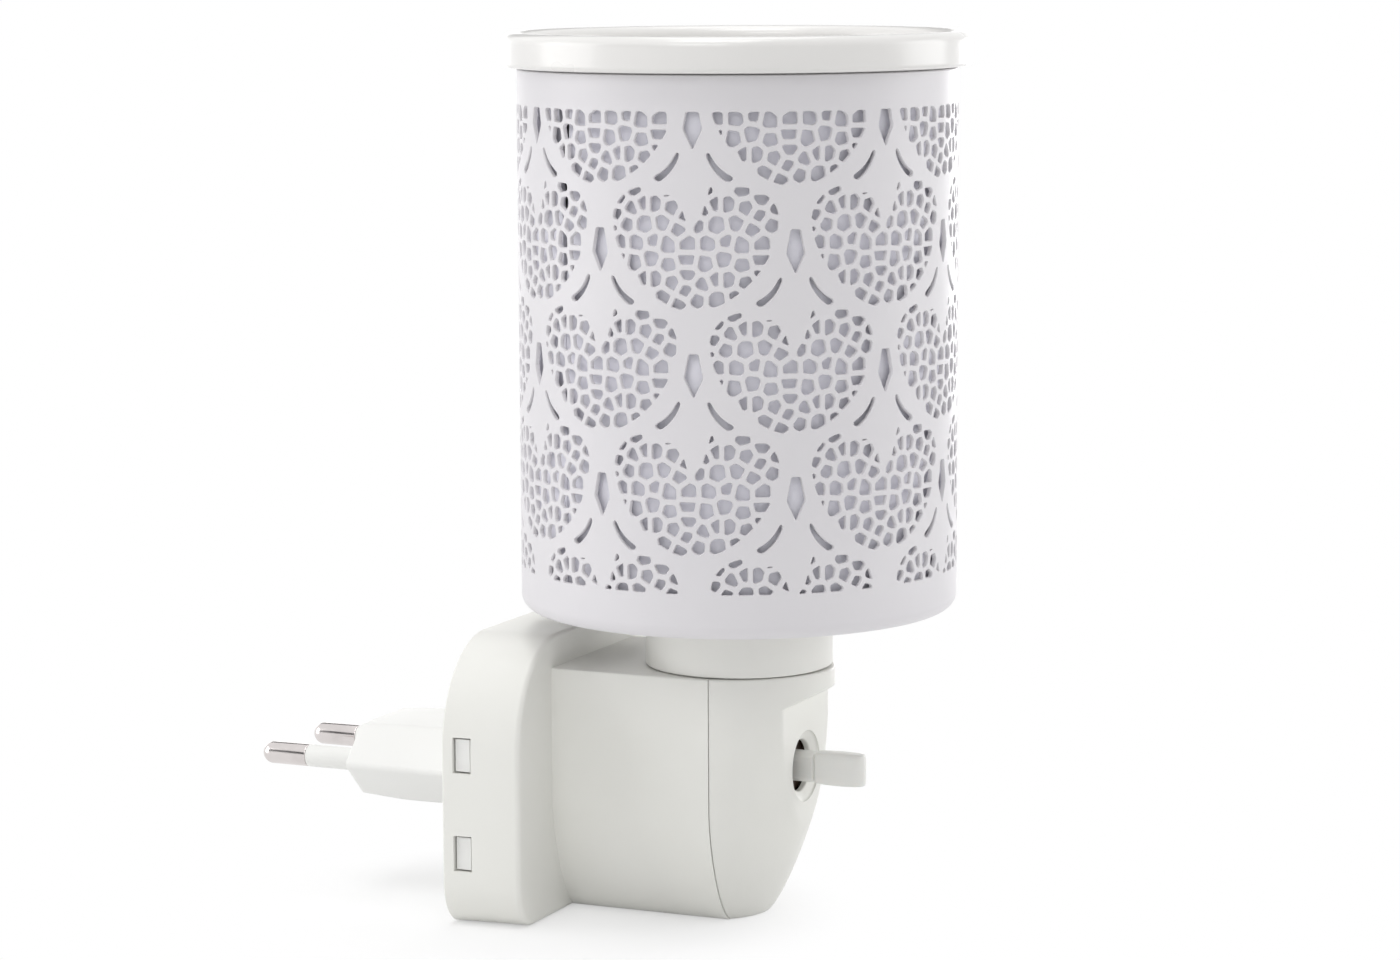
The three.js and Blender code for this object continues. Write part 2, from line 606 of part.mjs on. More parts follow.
function springWasher() {
  const y0 = ROTOR_BACK_Y + SEAT_GAP;
  const y1 = SWITCH_BACK_Y - SWITCH_WALL - SEAT_GAP;
  const inner = WASHER_BORE_RADIUS;
  return turnedAlongY([
    [inner, y0], [inner + WASHER_THICKNESS, y0], [ROTOR_RADIUS, y1 - WASHER_THICKNESS],
    [ROTOR_RADIUS, y1], [ROTOR_RADIUS - WASHER_THICKNESS, y1], [inner, y0 + WASHER_THICKNESS], [inner, y0],
  ], 0, SWITCH_Z);
}

// The paddle's section is a rounded bar and its free end is drawn in
function switchKey() {
  const rootY = RECESS_Y - SEAT_GAP;
  const endY = rootY - KEY_LENGTH;
  const squared = (value) => Math.sign(value) * Math.abs(value) ** KEY_SQUARENESS;
  const circle = arc(0, 0, 1, 1, 0, 360, SMALL_SEGMENTS).slice(1);
  const paddleRing = (y, inset) => circle.map(([c, s]) => new THREE.Vector3(
    (KEY_THICKNESS / 2 - inset) * squared(c), y, SWITCH_Z + (KEY_HEIGHT / 2 - inset) * squared(s),
  ));
  const paddle = stacked([
    paddleRing(rootY, KEY_ROUND / 2), paddleRing(rootY - KEY_ROUND, 0),
    paddleRing(endY + KEY_ROUND, 0), paddleRing(endY, KEY_ROUND),
  ]);
  const stem = stemSection(0);
  const shank = box(-stem.x, stem.x, rootY - KEY_ROUND, ROTOR_FRONT_Y + KEY_SOCKET_DEPTH - SEAT_GAP,
    SWITCH_Z - stem.z, SWITCH_Z + stem.z);
  return paddle.add(shank);
}

// Lamp holder and bulb
function rivetHole(x) {
  const radius = RIVET_RADIUS + SEAT_GAP;
  const start = HOLDER_BOTTOM - CUT_MARGIN;
  return turned([[0, start], [radius, start], [radius, SHELL_BOTTOM], [0, SHELL_BOTTOM]], SMALL_SEGMENTS)
    .translate([x, 0, 0]);
}

function rivet(x, headRadius) {
  const headBottom = HOLDER_FLOOR_TOP + SEAT_GAP;
  return turned([
    [0, RIVET_END], [RIVET_RADIUS, RIVET_END], [RIVET_RADIUS, headBottom],
    [headRadius, headBottom], [headRadius, CONTACT_TOP], [0, CONTACT_TOP],
  ], SMALL_SEGMENTS).translate([x, 0, 0]);
}

function lampHolder() {
  const spigotTop = COLLAR_TOP + SPIGOT_HEIGHT;
  return turned([
    [0, HOLDER_BOTTOM], [NECK_FOOT_RADIUS, HOLDER_BOTTOM], [NECK_FOOT_RADIUS, NECK_TOP],
    [NECK_RADIUS, NECK_TOP], [NECK_RADIUS, COLLAR_BOTTOM], [COLLAR_RADIUS, COLLAR_BOTTOM],
    [COLLAR_RADIUS, COLLAR_TOP],
    [SPIGOT_RADIUS, COLLAR_TOP], [SPIGOT_RADIUS, spigotTop], [HOLDER_BORE_RADIUS, spigotTop],
    [HOLDER_BORE_RADIUS, HOLDER_FLOOR_TOP], [0, HOLDER_FLOOR_TOP],
  ]).subtract(rivetHole(0)).subtract(rivetHole(SHELL_RIVET_X));
}

function screwShell() {
  const top = SHELL_BOTTOM + SHELL_HEIGHT;
  const inner = SHELL_RADIUS - SHELL_WALL;
  return turnedRing([
    [SHELL_FOOT_RADIUS, SHELL_BOTTOM], [SHELL_RADIUS, SHELL_BOTTOM], [SHELL_RADIUS, top], [inner, top],
    [inner, SHELL_BOTTOM + SHELL_WALL], [SHELL_FOOT_RADIUS, SHELL_BOTTOM + SHELL_WALL],
  ]);
}

function bulbTip() {
  const top = TIP_BOTTOM + TIP_HEIGHT;
  const profile = [[0, TIP_BOTTOM], [TIP_RADIUS / 2, TIP_BOTTOM], [TIP_RADIUS, top], [0, top]];
  return turned(profile, SMALL_SEGMENTS);
}

function bulbInsulator() {
  const top = INSULATOR_BOTTOM + INSULATOR_HEIGHT;
  const bottomRadius = TIP_RADIUS + SEAT_GAP;
  return turned([[0, INSULATOR_BOTTOM], [bottomRadius, INSULATOR_BOTTOM], [CAP_RADIUS, top], [0, top]]);
}

function bulbCap() {
  const inner = CAP_RADIUS - CAP_WALL;
  return turnedRing([[inner, CAP_BOTTOM], [CAP_RADIUS, CAP_BOTTOM], [CAP_RADIUS, CAP_TOP], [inner, CAP_TOP]]);
}

function bulbGlass() {
  const shoulder = CAP_TOP + GLASS_RADIUS - GLASS_NECK_RADIUS;
  const domeZ = GLASS_TOP - GLASS_RADIUS;
  const side = (inset) => [
    [GLASS_NECK_RADIUS - inset, GLASS_BOTTOM],
    [GLASS_NECK_RADIUS - inset, CAP_TOP + SEAT_GAP],
    [GLASS_RADIUS - inset, shoulder + SEAT_GAP],
    ...arc(0, domeZ, GLASS_RADIUS - inset, GLASS_RADIUS - inset, 0, 90, 6),
  ];
  return turned([...side(0), ...side(GLASS_WALL).reverse(), side(0)[0]], GLASS_SEGMENTS);
}

function bulbStem() {
  const footRadius = GLASS_NECK_RADIUS - GLASS_WALL - SEAT_GAP;
  const flareTop = GLASS_BOTTOM + STEM_HEIGHT / 2;
  return turned([
    [0, GLASS_BOTTOM], [footRadius, GLASS_BOTTOM], [footRadius, GLASS_BOTTOM + GLASS_WALL],
    [STEM_RADIUS, flareTop], [STEM_RADIUS, STEM_TOP], [0, STEM_TOP],
  ], SMALL_SEGMENTS);
}

function filament() {
  const foot = STEM_TOP + SEAT_GAP;
  const top = foot + FILAMENT_RISE;
  const half = FILAMENT_SPAN / 2;
  const low = top - FILAMENT_SAG;
  const lead = LEAD_SPACING / 2;
  const bend = foot + LEAD_STUB;
  return tube([
    [-lead, 0, foot], [-lead, 0, bend], [-half, 0, low], [-half / 2, 0, top],
    [0, 0, low], [half / 2, 0, top], [half, 0, low], [lead, 0, bend], [lead, 0, foot],
  ], FILAMENT_DIAMETER / 2, FILAMENT_SIDES, FILAMENT_STEPS);
}

// Wires, from terminal to terminal
function liveWire() {
  const start = PIN_TAIL_Y - SEAT_GAP;
  const end = bladeSpan().y1 + SEAT_GAP;
  const bladeX = -SWITCH_BODY_RADIUS - BLADE_REACH / 2;
  const middle = (start + end) / 2;
  return tube([
    [-PIN_X, start, PLUG_Z], [-PIN_X, start - TERMINAL_LENGTH, PLUG_Z],
    [(bladeX - PIN_X) / 2, middle, (PLUG_Z + SWITCH_Z) / 2],
    [bladeX, end + TERMINAL_LENGTH, SWITCH_Z], [bladeX, end, SWITCH_Z],
  ], WIRE_RADIUS, WIRE_SIDES, WIRE_STEPS);
}

function rivetWireZ() {
  return (RIVET_END + HOLDER_BOTTOM) / 2 - SEAT_GAP / 2;
}

function switchedWire() {
  const start = bladeSpan().y1 + SEAT_GAP;
  const bladeX = SWITCH_BODY_RADIUS + BLADE_REACH / 2;
  const end = RIVET_RADIUS + SEAT_GAP;
  const turnY = SWITCH_BACK_Y + WIRE_BEND;
  const z = rivetWireZ();
  return tube([
    [bladeX, start, SWITCH_Z], [bladeX, start + WIRE_BEND, SWITCH_Z],
    [bladeX - WIRE_BEND, turnY, (SWITCH_Z + z) / 2], [WIRE_DIAMETER, turnY - WIRE_DIAMETER, z],
    [0, SWITCH_BACK_Y, z], [0, end, z],
  ], WIRE_RADIUS, WIRE_SIDES, WIRE_STEPS);
}

function neutralWire() {
  const start = PIN_TAIL_Y - SEAT_GAP;
  const end = RIVET_RADIUS + SEAT_GAP;
  const z = rivetWireZ();
  const turnY = SWITCH_BACK_Y + 2 * WIRE_BEND;
  return tube([
    [PIN_X, start, PLUG_Z], [PIN_X, start - TERMINAL_LENGTH, PLUG_Z],
    [PIN_X + WIRE_DIAMETER, turnY, (PLUG_Z + z) / 2], [PIN_X, SWITCH_BACK_Y + WIRE_BEND, z],
    [SHELL_RIVET_X, SWITCH_BACK_Y, z], [SHELL_RIVET_X, end, z],
  ], WIRE_RADIUS, WIRE_SIDES, WIRE_STEPS);
}

// Shade, liner and dish
function shadeCan() {
  const inner = SHADE_CORNER - SHADE_WALL;
  const lipRadius = SHADE_CORNER_R - SHADE_LIP;
  return turnedRing([
    [lipRadius, SHADE_BOTTOM],
    ...arc(SHADE_CORNER_R, SHADE_CORNER_Z, SHADE_CORNER, SHADE_CORNER, -90, 0, 4),
    [SHADE_RADIUS, SHADE_TOP], [SHADE_INNER_RADIUS, SHADE_TOP],
    ...arc(SHADE_CORNER_R, SHADE_CORNER_Z, inner, inner, 0, -90, 4),
    [lipRadius, SHADE_BOTTOM + SHADE_WALL],
  ], SHADE_SEGMENTS);
}

function shadeBase() {
  const top = SHADE_SEAT + SHADE_WALL;
  return turnedRing([
    [SHADE_HOLE_RADIUS, SHADE_SEAT], [SHADE_CORNER_R, SHADE_SEAT],
    [SHADE_CORNER_R, top], [SHADE_HOLE_RADIUS, top],
  ], SHADE_SEGMENTS);
}

// One opening: an outline of [along the wall, height] pairs, cut square to the wall at its own middle
function opening(outline, turnDegrees) {
  const middle = outline.reduce((sum, [u]) => sum + u, 0) / outline.length;
  const shape = new THREE.Shape(outline.map(([u, z]) => new THREE.Vector2(u - middle, z)));
  const depth = 4 * SHADE_WALL;
  const geometry = new THREE.ExtrudeGeometry(shape, { depth, bevelEnabled: false });
  const turn = THREE.MathUtils.degToRad(turnDegrees) + middle / SHADE_RADIUS;
  const along = new THREE.Vector3(-Math.sin(turn), Math.cos(turn), 0);
  const outward = new THREE.Vector3(Math.cos(turn), Math.sin(turn), 0);
  const placed = new THREE.Matrix4().makeBasis(along, new THREE.Vector3(0, 0, 1), outward);
  placed.setPosition(outward.clone().multiplyScalar(SHADE_RADIUS - depth / 2));
  return toSolid(geometry.applyMatrix4(placed));
}

function heartHalfWidth(share) {
  return HEART_WIDTH / 2 * Math.sqrt(Math.max(0, 1 - ((share - HEART_WIDEST) / HEART_SPREAD) ** 2));
}

// Bands of openings across one heart, kept inside the punched zone
function heartOpenings(foot, low, high) {
  const outlines = [];
  for (const { from, to } of MOSAIC_BANDS) {
    const z0 = Math.max(foot + from * HEART_HEIGHT + MOSAIC_BAR / 2, low);
    const z1 = Math.min(foot + to * HEART_HEIGHT - MOSAIC_BAR / 2, high);
    if (z1 - z0 < MOSAIC_BAR) continue;
    const half = [z0, z1].map((z) => heartHalfWidth((z - foot) / HEART_HEIGHT));
    const notch = to === 1 ? HEART_NOTCH : MOSAIC_BAR;
    for (let i = 0; i < MOSAIC_CELLS; i++) {
      const edges = [i, i + 1].map((step) => 2 * step / MOSAIC_CELLS - 1);
      const inset = edges.map((edge, k) => (edge === 0 ? notch / 2 : MOSAIC_BAR / 2) * (k === 0 ? 1 : -1));
      outlines.push([
        [edges[0] * half[0] + inset[0], z0], [edges[1] * half[0] + inset[1], z0],
        [edges[1] * half[1] + inset[1], z1], [edges[0] * half[1] + inset[0], z1],
      ]);
    }
  }
  return outlines;
}

function diamondOpening(foot) {
  const z = foot + DIAMOND_RISE;
  const half = DIAMOND_WIDTH / 2;
  const rise = DIAMOND_HEIGHT / 2;
  const widestZ = z - rise / 4;
  return [[0, z - rise], [half, widestZ], [half / 2, z + rise], [-half / 2, z + rise], [-half, widestZ]];
}

function leafOpening(foot, side) {
  const slant = THREE.MathUtils.degToRad(LEAF_SLANT);
  const bar = [[-0.5, 0], [0, -0.5], [0.5, 0], [0, 0.5]].map(([s, t]) => {
    const along = s * LEAF_LENGTH;
    const across = t * LEAF_WIDTH + (0.25 - s * s) * 4 * LEAF_BOW;
    const u = LEAF_OFFSET + along * Math.cos(slant) + across * Math.sin(slant);
    const z = foot + LEAF_RISE - along * Math.sin(slant) + across * Math.cos(slant);
    return [side * u, z];
  });
  return side > 0 ? bar : bar.reverse();
}

function shadeWall() {
  const low = SHADE_BOTTOM + PATTERN_FOOT;
  const high = low + PATTERN_HEIGHT;
  const pitch = 360 / PATTERN_COLUMNS;
  const cutters = [];
  for (let row = 0; row < ROWS; row++) {
    const foot = low + PATTERN_FIRST_ROW + row * ROW_PITCH;
    for (let column = 0; column < PATTERN_COLUMNS; column++) {
      const turn = PATTERN_TURN + pitch * (column + (row % 2 === 0 ? 0.5 : 0));
      for (const outline of heartOpenings(foot, low, high)) cutters.push(opening(outline, turn));
      const between = turn + pitch / 2;
      const slits = [diamondOpening(foot), leafOpening(foot, 1), leafOpening(foot, -1)];
      for (const outline of slits) {
        const heights = outline.map(([, z]) => z);
        const isInside = Math.min(...heights) > low && Math.max(...heights) < high;
        if (isInside) cutters.push(opening(outline, between));
      }
    }
  }
  return shadeCan().rotate([0, 0, PATTERN_TURN]).subtract(joined(cutters));
}

// A rolled sheet standing in the shade's rounded foot, its two edges a seam apart
function diffuserLiner() {
  const reach = SHADE_CORNER - SHADE_WALL - SEAT_GAP;
  const bottom = SHADE_CORNER_Z - Math.sqrt(reach ** 2 - (LINER_RADIUS - SHADE_CORNER_R) ** 2);
  const top = bottom + LINER_HEIGHT;
  const inner = LINER_RADIUS - LINER_WALL;
  const profile = [[inner, bottom], [LINER_RADIUS, bottom], [LINER_RADIUS, top], [inner, top]];
  const roll = turnedRing(profile, SHADE_SEGMENTS);
  const seam = box(0, LINER_RADIUS + CUT_MARGIN, -LINER_SEAM / 2, LINER_SEAM / 2,
    bottom - CUT_MARGIN, top + CUT_MARGIN);
  return roll.subtract(seam.rotate([0, 0, LINER_SEAM_TURN]));
}

function dish() {
  const floorTop = DISH_TOP - DISH_DEPTH;
  const floorBottom = floorTop - DISH_FLOOR;
  const spigotBottom = DISH_SEAT - DISH_SPIGOT_DEPTH;
  const innerRadius = DISH_RADIUS - DISH_RIM_WIDTH;
  const under = arc(DISH_FLOOR_RADIUS, spigotBottom, DISH_SPIGOT_RADIUS - DISH_FLOOR_RADIUS,
    spigotBottom - floorBottom, -90, 0, 4);
  const bowl = arc(DISH_FLOOR_RADIUS, DISH_TOP - DISH_RIM_ROUND, innerRadius - DISH_FLOOR_RADIUS,
    DISH_DEPTH - DISH_RIM_ROUND, 0, -90, 5);
  const rim = arc(DISH_RADIUS - DISH_RIM_ROUND, DISH_TOP - DISH_RIM_ROUND, DISH_RIM_ROUND,
    DISH_RIM_ROUND, 0, 180, 6);
  const lip = arc(DISH_RADIUS - DISH_LIP_ROUND, DISH_SEAT + DISH_LIP_ROUND, DISH_LIP_ROUND,
    DISH_LIP_ROUND, -90, 0, 2);
  return turned([
    [0, floorBottom], ...under, [DISH_SPIGOT_RADIUS, DISH_SEAT], ...lip,
    ...rim, ...bowl.slice(1), [0, floorTop],
  ], DISH_SEGMENTS);
}

// Assembly
const lamp = new THREE.Group();

function addPiece(name, solid, look) {
  const { vertProperties, triVerts } = solid.getMesh();
  const geometry = new THREE.BufferGeometry();
  geometry.setAttribute('position', new THREE.BufferAttribute(vertProperties, 3));
  geometry.setIndex(new THREE.BufferAttribute(triVerts, 1));
  geometry.computeVertexNormals();
  const piece = new THREE.Mesh(geometry, new THREE.MeshStandardMaterial(MATERIALS[look]));
  piece.name = name;
  lamp.add(piece);
}

addPiece('rear_housing', rearHousing(), 'base');
addPiece('front_cover', frontCover(), 'base');
addPiece('plug_plate', plugPlate(), 'base');
for (const [side, sign] of [['left', -1], ['right', 1]]) {
  addPiece(`plug_pin_${side}`, plugPin(sign * PIN_X), 'nickel');
  addPiece(`pin_sleeve_${side}`, pinSleeve(sign * PIN_X), 'base');
  addPiece(`pin_terminal_${side}`, pinTerminal(sign * PIN_X), 'brass');
  addPiece(`cover_screw_${side}`, coverScrew(sign * SCREW_X), 'steel');
  addPiece(`switch_contact_${side}`, switchContact(sign), 'brass');
}
addPiece('switch_body', switchBody(), 'bakelite');
addPiece('switch_rotor', switchRotor(), 'bakelite');
addPiece('bridge_contact', bridgeRod(0, ROTOR_RADIUS), 'brass');
addPiece('spring_washer', springWasher(), 'steel');
addPiece('switch_key', switchKey(), 'key');
addPiece('live_wire', liveWire(), 'brownWire');
addPiece('switched_wire', switchedWire(), 'brownWire');
addPiece('neutral_wire', neutralWire(), 'blueWire');
addPiece('lamp_holder', lampHolder(), 'base');
addPiece('screw_shell', screwShell(), 'brass');
addPiece('shell_rivet', rivet(SHELL_RIVET_X, SHELL_RIVET_HEAD_RADIUS), 'brass');
addPiece('centre_contact', rivet(0, CENTRE_HEAD_RADIUS), 'brass');
addPiece('bulb_tip', bulbTip(), 'steel');
addPiece('bulb_insulator', bulbInsulator(), 'bakelite');
addPiece('bulb_cap', bulbCap(), 'nickel');
addPiece('bulb_glass', bulbGlass(), 'glass');
addPiece('bulb_stem', bulbStem(), 'glass');
addPiece('filament', filament(), 'steel');
addPiece('shade_wall', shadeWall(), 'shade');
addPiece('shade_base', shadeBase(), 'shade');
addPiece('diffuser_liner', diffuserLiner(), 'liner');
addPiece('dish', dish(), 'dish');

export default lamp;
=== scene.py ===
"""Looks of a plug-in electric aroma lamp, dressed over its packed construction.

The script's own sizes are millimetres. Meshes are made in metres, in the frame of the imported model:
+x right, +y toward the wall socket, +z up, with the flat underside at z = 0.
"""

import math

import bmesh
import bpy
import numpy as np
from mathutils import Matrix, Vector
from mathutils.geometry import delaunay_2d_cdt


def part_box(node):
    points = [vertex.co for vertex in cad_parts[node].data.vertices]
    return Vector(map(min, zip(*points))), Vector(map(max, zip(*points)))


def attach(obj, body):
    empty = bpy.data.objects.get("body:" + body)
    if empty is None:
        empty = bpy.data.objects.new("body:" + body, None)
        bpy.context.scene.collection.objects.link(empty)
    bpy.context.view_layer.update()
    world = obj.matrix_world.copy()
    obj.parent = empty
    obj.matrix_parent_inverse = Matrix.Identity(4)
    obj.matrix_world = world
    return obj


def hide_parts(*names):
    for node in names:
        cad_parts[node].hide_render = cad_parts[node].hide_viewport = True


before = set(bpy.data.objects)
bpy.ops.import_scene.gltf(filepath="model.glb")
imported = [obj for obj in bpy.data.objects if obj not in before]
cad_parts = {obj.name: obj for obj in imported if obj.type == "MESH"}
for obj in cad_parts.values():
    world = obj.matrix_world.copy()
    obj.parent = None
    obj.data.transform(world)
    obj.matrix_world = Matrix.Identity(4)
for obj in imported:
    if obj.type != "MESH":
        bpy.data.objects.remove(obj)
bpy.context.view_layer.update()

MM = 0.001
X, Y, Z = range(3)


def span(node, axis):
    """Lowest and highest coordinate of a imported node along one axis, in millimetres."""
    low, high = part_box(node)
    return low[axis] / MM, high[axis] / MM


# Making of meshes
MERGE_DISTANCE = 0.002
LEAST_EDGE = 0.0005
MEET_DISTANCE = 1e-6
NO_LENGTH = 1e-9
SHARP_ANGLE = 35
OVERCUT = 1.0

# Shade, liner and dish
SHADE_BOTTOM, SHADE_TOP = span("shade_wall", Z)
SHADE_RADIUS = 37.5
SHADE_WALL = 0.7
SHADE_CORNER = 2.5
SHADE_DROP = 0.5
SHADE_LIP = 5.0
SHADE_EDGE_ROUND = 0.25
BASE_BOTTOM, BASE_TOP = span("shade_base", Z)
BASE_RADIUS = span("shade_base", X)[1]
SHADE_HOLE_RADIUS = 13.6
LINER_BOTTOM, LINER_TOP = span("diffuser_liner", Z)
LINER_RADIUS = 35.8
LINER_WALL = 0.7
LINER_SEAM = 3.0
LINER_MEET = 0.25
LINER_PART_FROM = 108.0
LINER_SEAM_TURN = 150.5
LINER_LEVELS = 10
LINER_COLUMNS = 180
DISH_BOTTOM, DISH_TOP = span("dish", Z)
DISH_RADIUS = span("dish", X)[1]
DISH_SEAT_GAP = 0.3
DISH_SEAT = SHADE_TOP + DISH_SEAT_GAP
DISH_SEAT_ROUND = 0.3
DISH_FLOOR = 3.0
DISH_FLOOR_RADIUS = 25.0
DISH_SPIGOT_RADIUS = 36.4
DISH_SPIGOT_DEPTH = 2.5
DISH_RIM_WIDTH = 3.6
DISH_RIM_ROUND = 1.8
DISH_LIP_ROUND = 0.9

# Punched pattern: staggered rows of mosaic hearts with a diamond and two crescents between them
PATTERN_COLUMNS = 7
PATTERN_TURN = 37.8
PATTERN_RISE = 7.2
PATTERN_HEIGHT = 78.7
PATTERN_LOW = SHADE_BOTTOM + PATTERN_RISE
PATTERN_HIGH = PATTERN_LOW + PATTERN_HEIGHT
FIRST_ROW_DROP = 14.2
ROW_PITCH = 20.2
ROWS = 5
HEART_HALF_WIDTH = 14.1
HEART_BOWL = 14.8
HEART_BOWL_POWER = 1.75
HEART_LOBE = (6.1, 5.4)
SHOULDER_FROM = 3.0
SHOULDER_TO = 7.4
SHOULDER_LEVEL = 18.85
STALK_HALF_WIDTH = 1.45
STALK_POINT = 13.6
STALK_SHOULDER = 15.5
STALK_FLARE = 0.3
MOSAIC_TILE = 12.2
MOSAIC_BAR = 0.95
TILES_ACROSS = range(-1, 3)
TILES_UP = range(-2, 2)
NEAREST_STONES = 22
# One tile's stones: x and z of the middle, from the heart's foot, and breadth
MOSAIC_STONES = (
    (-8.5, 17.5, 1.3), (-6.4, 17.5, 2.0), (-3.6, 16.9, 2.1), (-1.3, 15.6, 1.7), (1.5, 16.5, 1.6),
    (0.7, 14.2, 1.9), (-8.3, 14.0, 2.5), (-5.1, 14.5, 2.1), (-2.5, 13.2, 2.0), (-9.7, 11.1, 2.1),
    (-6.8, 11.5, 1.6), (-4.2, 10.9, 2.3), (-1.0, 11.0, 2.3), (-10.1, 7.9, 2.1), (-7.2, 8.6, 2.1),
    (-4.2, 7.5, 1.9), (-1.0, 8.5, 2.0), (-1.0, 6.1, 1.7),
)
CELL_ROUND = 0.19
CELL_ROUND_SHARE = 0.36
LEAST_CELL = 0.09
LEAST_SIDE = 0.16
PUNCH_ROUND = 0.13
PUNCH_ROUND_DEPTH = 1.4 * PUNCH_ROUND
DIAMOND = ((0.0, -3.6), (1.55, -0.3), (0.75, 3.6), (-0.75, 3.6), (-1.55, -0.3))
DIAMOND_RISE = 9.7
LEAF_LENGTH = 5.9
LEAF_HALF_WIDTH = 0.62
LEAF_TAPER = 0.5
LEAF_OFFSET = 4.4
LEAF_RISE = 3.3
LEAF_SLANT = 48
LEAF_BOW = 0.6
PLAIN_SEAM_TURN = 90
PLAIN_SEAM = 2.4
STRIP_EDGE = 1.2
WALL_COLUMNS = 210
FILL_STEP = 2.0
FILL_CLEARANCE = 0.45 * FILL_STEP

# Lamp holder, bulb
HOLDER_BOTTOM, HOLDER_TOP = span("lamp_holder", Z)
HOLDER_BORE_RADIUS = 8.1
HOLDER_FLOOR = 2.7
HOLDER_ROUND = 0.3
COLLAR_RADIUS = span("lamp_holder", X)[1]
COLLAR_BOTTOM = 43.8
COLLAR_TOP = 55.2
NECK_RADIUS = 9.2
NECK_FOOT_RADIUS = 10.3
NECK_TOP = 41.3
SPIGOT_RADIUS = 13.2
CAP_BOTTOM, CAP_TOP = span("bulb_cap", Z)
CAP_RADIUS = span("bulb_cap", X)[1]
CAP_WALL = 0.5
THREAD_PITCH = 2.82
THREAD_DEPTH = 0.45
THREAD_SEGMENTS = 72
THREAD_ROWS = 90
GLASS_BOTTOM, GLASS_TOP = span("bulb_glass", Z)
GLASS_RADIUS = 11.0
GLASS_NECK_RADIUS = 6.1
GLASS_NECK_SHOWN = 0.3
GLASS_NECK_BEND = 4.0
GLASS_SHOULDER_BEND = 6.0
GLASS_WALL = 0.6
STEM_BOTTOM, STEM_TOP = span("bulb_stem", Z)
STEM_RADIUS = 2.0
STEM_FOOT_RADIUS = 5.0
STEM_FOOT = 0.8
STEM_FOOT_ROUND = 0.3
STEM_FLARE = 7.5
STEM_FLARE_BEND = 5.0
STEM_TOP_ROUND = 0.8
FILAMENT_BOTTOM, FILAMENT_TOP = span("filament", Z)
FILAMENT_HALF_SPAN = 5.0
FILAMENT_COIL = 0.3
FILAMENT_WIRE = 0.09
FILAMENT_TURNS = 46
FILAMENT_TURN_STEPS = 12
FILAMENT_DIP = 1.3
LEAD_HALF_SPACING = 1.2
LEAD_WIRE = 2 * FILAMENT_WIRE
LEAD_STUB = 1.0

# Housing
HOUSING_TOP = span("front_cover", Z)[1]
HOUSING_RADIUS = 17.0
HOUSING_WALL = 2.0
HOUSING_ROUND = 0.35
UNDERSIDE_HALF_WIDTH = 8.0
UNDERSIDE_FRONT_REACH = 5.0
SIDE_CURVE_HEIGHT = 20.6
SIDE_CURVE_POWER = 1.6
FRONT_CURVE_HEIGHT = 34.0
FRONT_CURVE_POWER = 1.25
FRONT_PLAN_POWER = 1.75
FRONT_PLAN_LIMIT = 0.985
FRONT_CAVITY_Y = 2.0
SEAM_CLOSING = 0.09
FRONT_SEAM_Y = span("front_cover", Y)[1] + SEAM_CLOSING
REAR_SEAM_Y = span("rear_housing", Y)[0] - SEAM_CLOSING
RECESS_DEPTH = 12.5
RECESS_TOP = 38.0
RECESS_SLOPE = 0.6
RECESS_ROUND = 0.4
RECESS_BROW = 3.12
NECK_HOLE_RADIUS = 9.5

# Flange and plug
FLANGE_FRONT_Y = 28.0
FLANGE_BACK_Y = span("rear_housing", Y)[1]
FLANGE_HALF_WIDTH = 30.0
FLANGE_TOP = span("rear_housing", Z)[1]
FLANGE_DRAFT = 1.4
FLANGE_EDGE = 0.9
FLANGE_BEVEL = 0.3
FLANGE_WALL = 2.0
FLANGE_LOWER_CORNER = np.array([5.5, 7.5])
FLANGE_UPPER_CORNER = np.array([16.0, 19.0])
WINDOW_HALF_HEIGHT = 3.1
WINDOW_FAR_EDGE = 5.3
WINDOW_NEAR_EDGE = 2.0
WINDOW_LEVELS = (12.9, 30.0)
WINDOW_CUT = 4.0
LATCH_GAP = 0.3
LATCH_RECESS = 0.9
LATCH_DEPTH = 3.4
PLATE_GAP = 0.3
PLATE_THICKNESS = 2.2
PLATE_BEVEL = 0.4
SKIRT_DEPTH = 3.0
SKIRT_WALL = 1.6
PLUG_FACE_Y = span("plug_plate", Y)[1]
PLUG_Z = 22.6
PLUG_HALF_WIDTH = 15.0
PLUG_HALF_HEIGHT = 6.85
PLUG_RIDGE = 6.4
PLUG_RIDGE_ROUND = 1.1
PLUG_CORNER_ROUND = 1.8
PLUG_TAPER = 0.5
PLUG_TAPER_LENGTH = 7.0
PLUG_TAPER_BEND = 2.0
PLUG_TAPER_START = 0.1
PLUG_NOSE_ROUND = 0.7
PLUG_ROOT_ROUND = 0.6
PLUG_ROOT_START = 0.5
PIN_X = 9.3
PIN_RADIUS = 2.0
PIN_CORE_RADIUS = 1.2
PIN_BORE_RADIUS = 1.5
PIN_TAIL_Y, PIN_TIP_Y = span("plug_pin_left", Y)
PIN_TAIL_ROUND = 0.2
PIN_SHOULDER_ROUND = 0.15
SLEEVE_FRONT_Y, SLEEVE_BACK_Y = span("pin_sleeve_left", Y)
SLEEVE_ROUND = 0.12
SLEEVE_GAP = 0.05

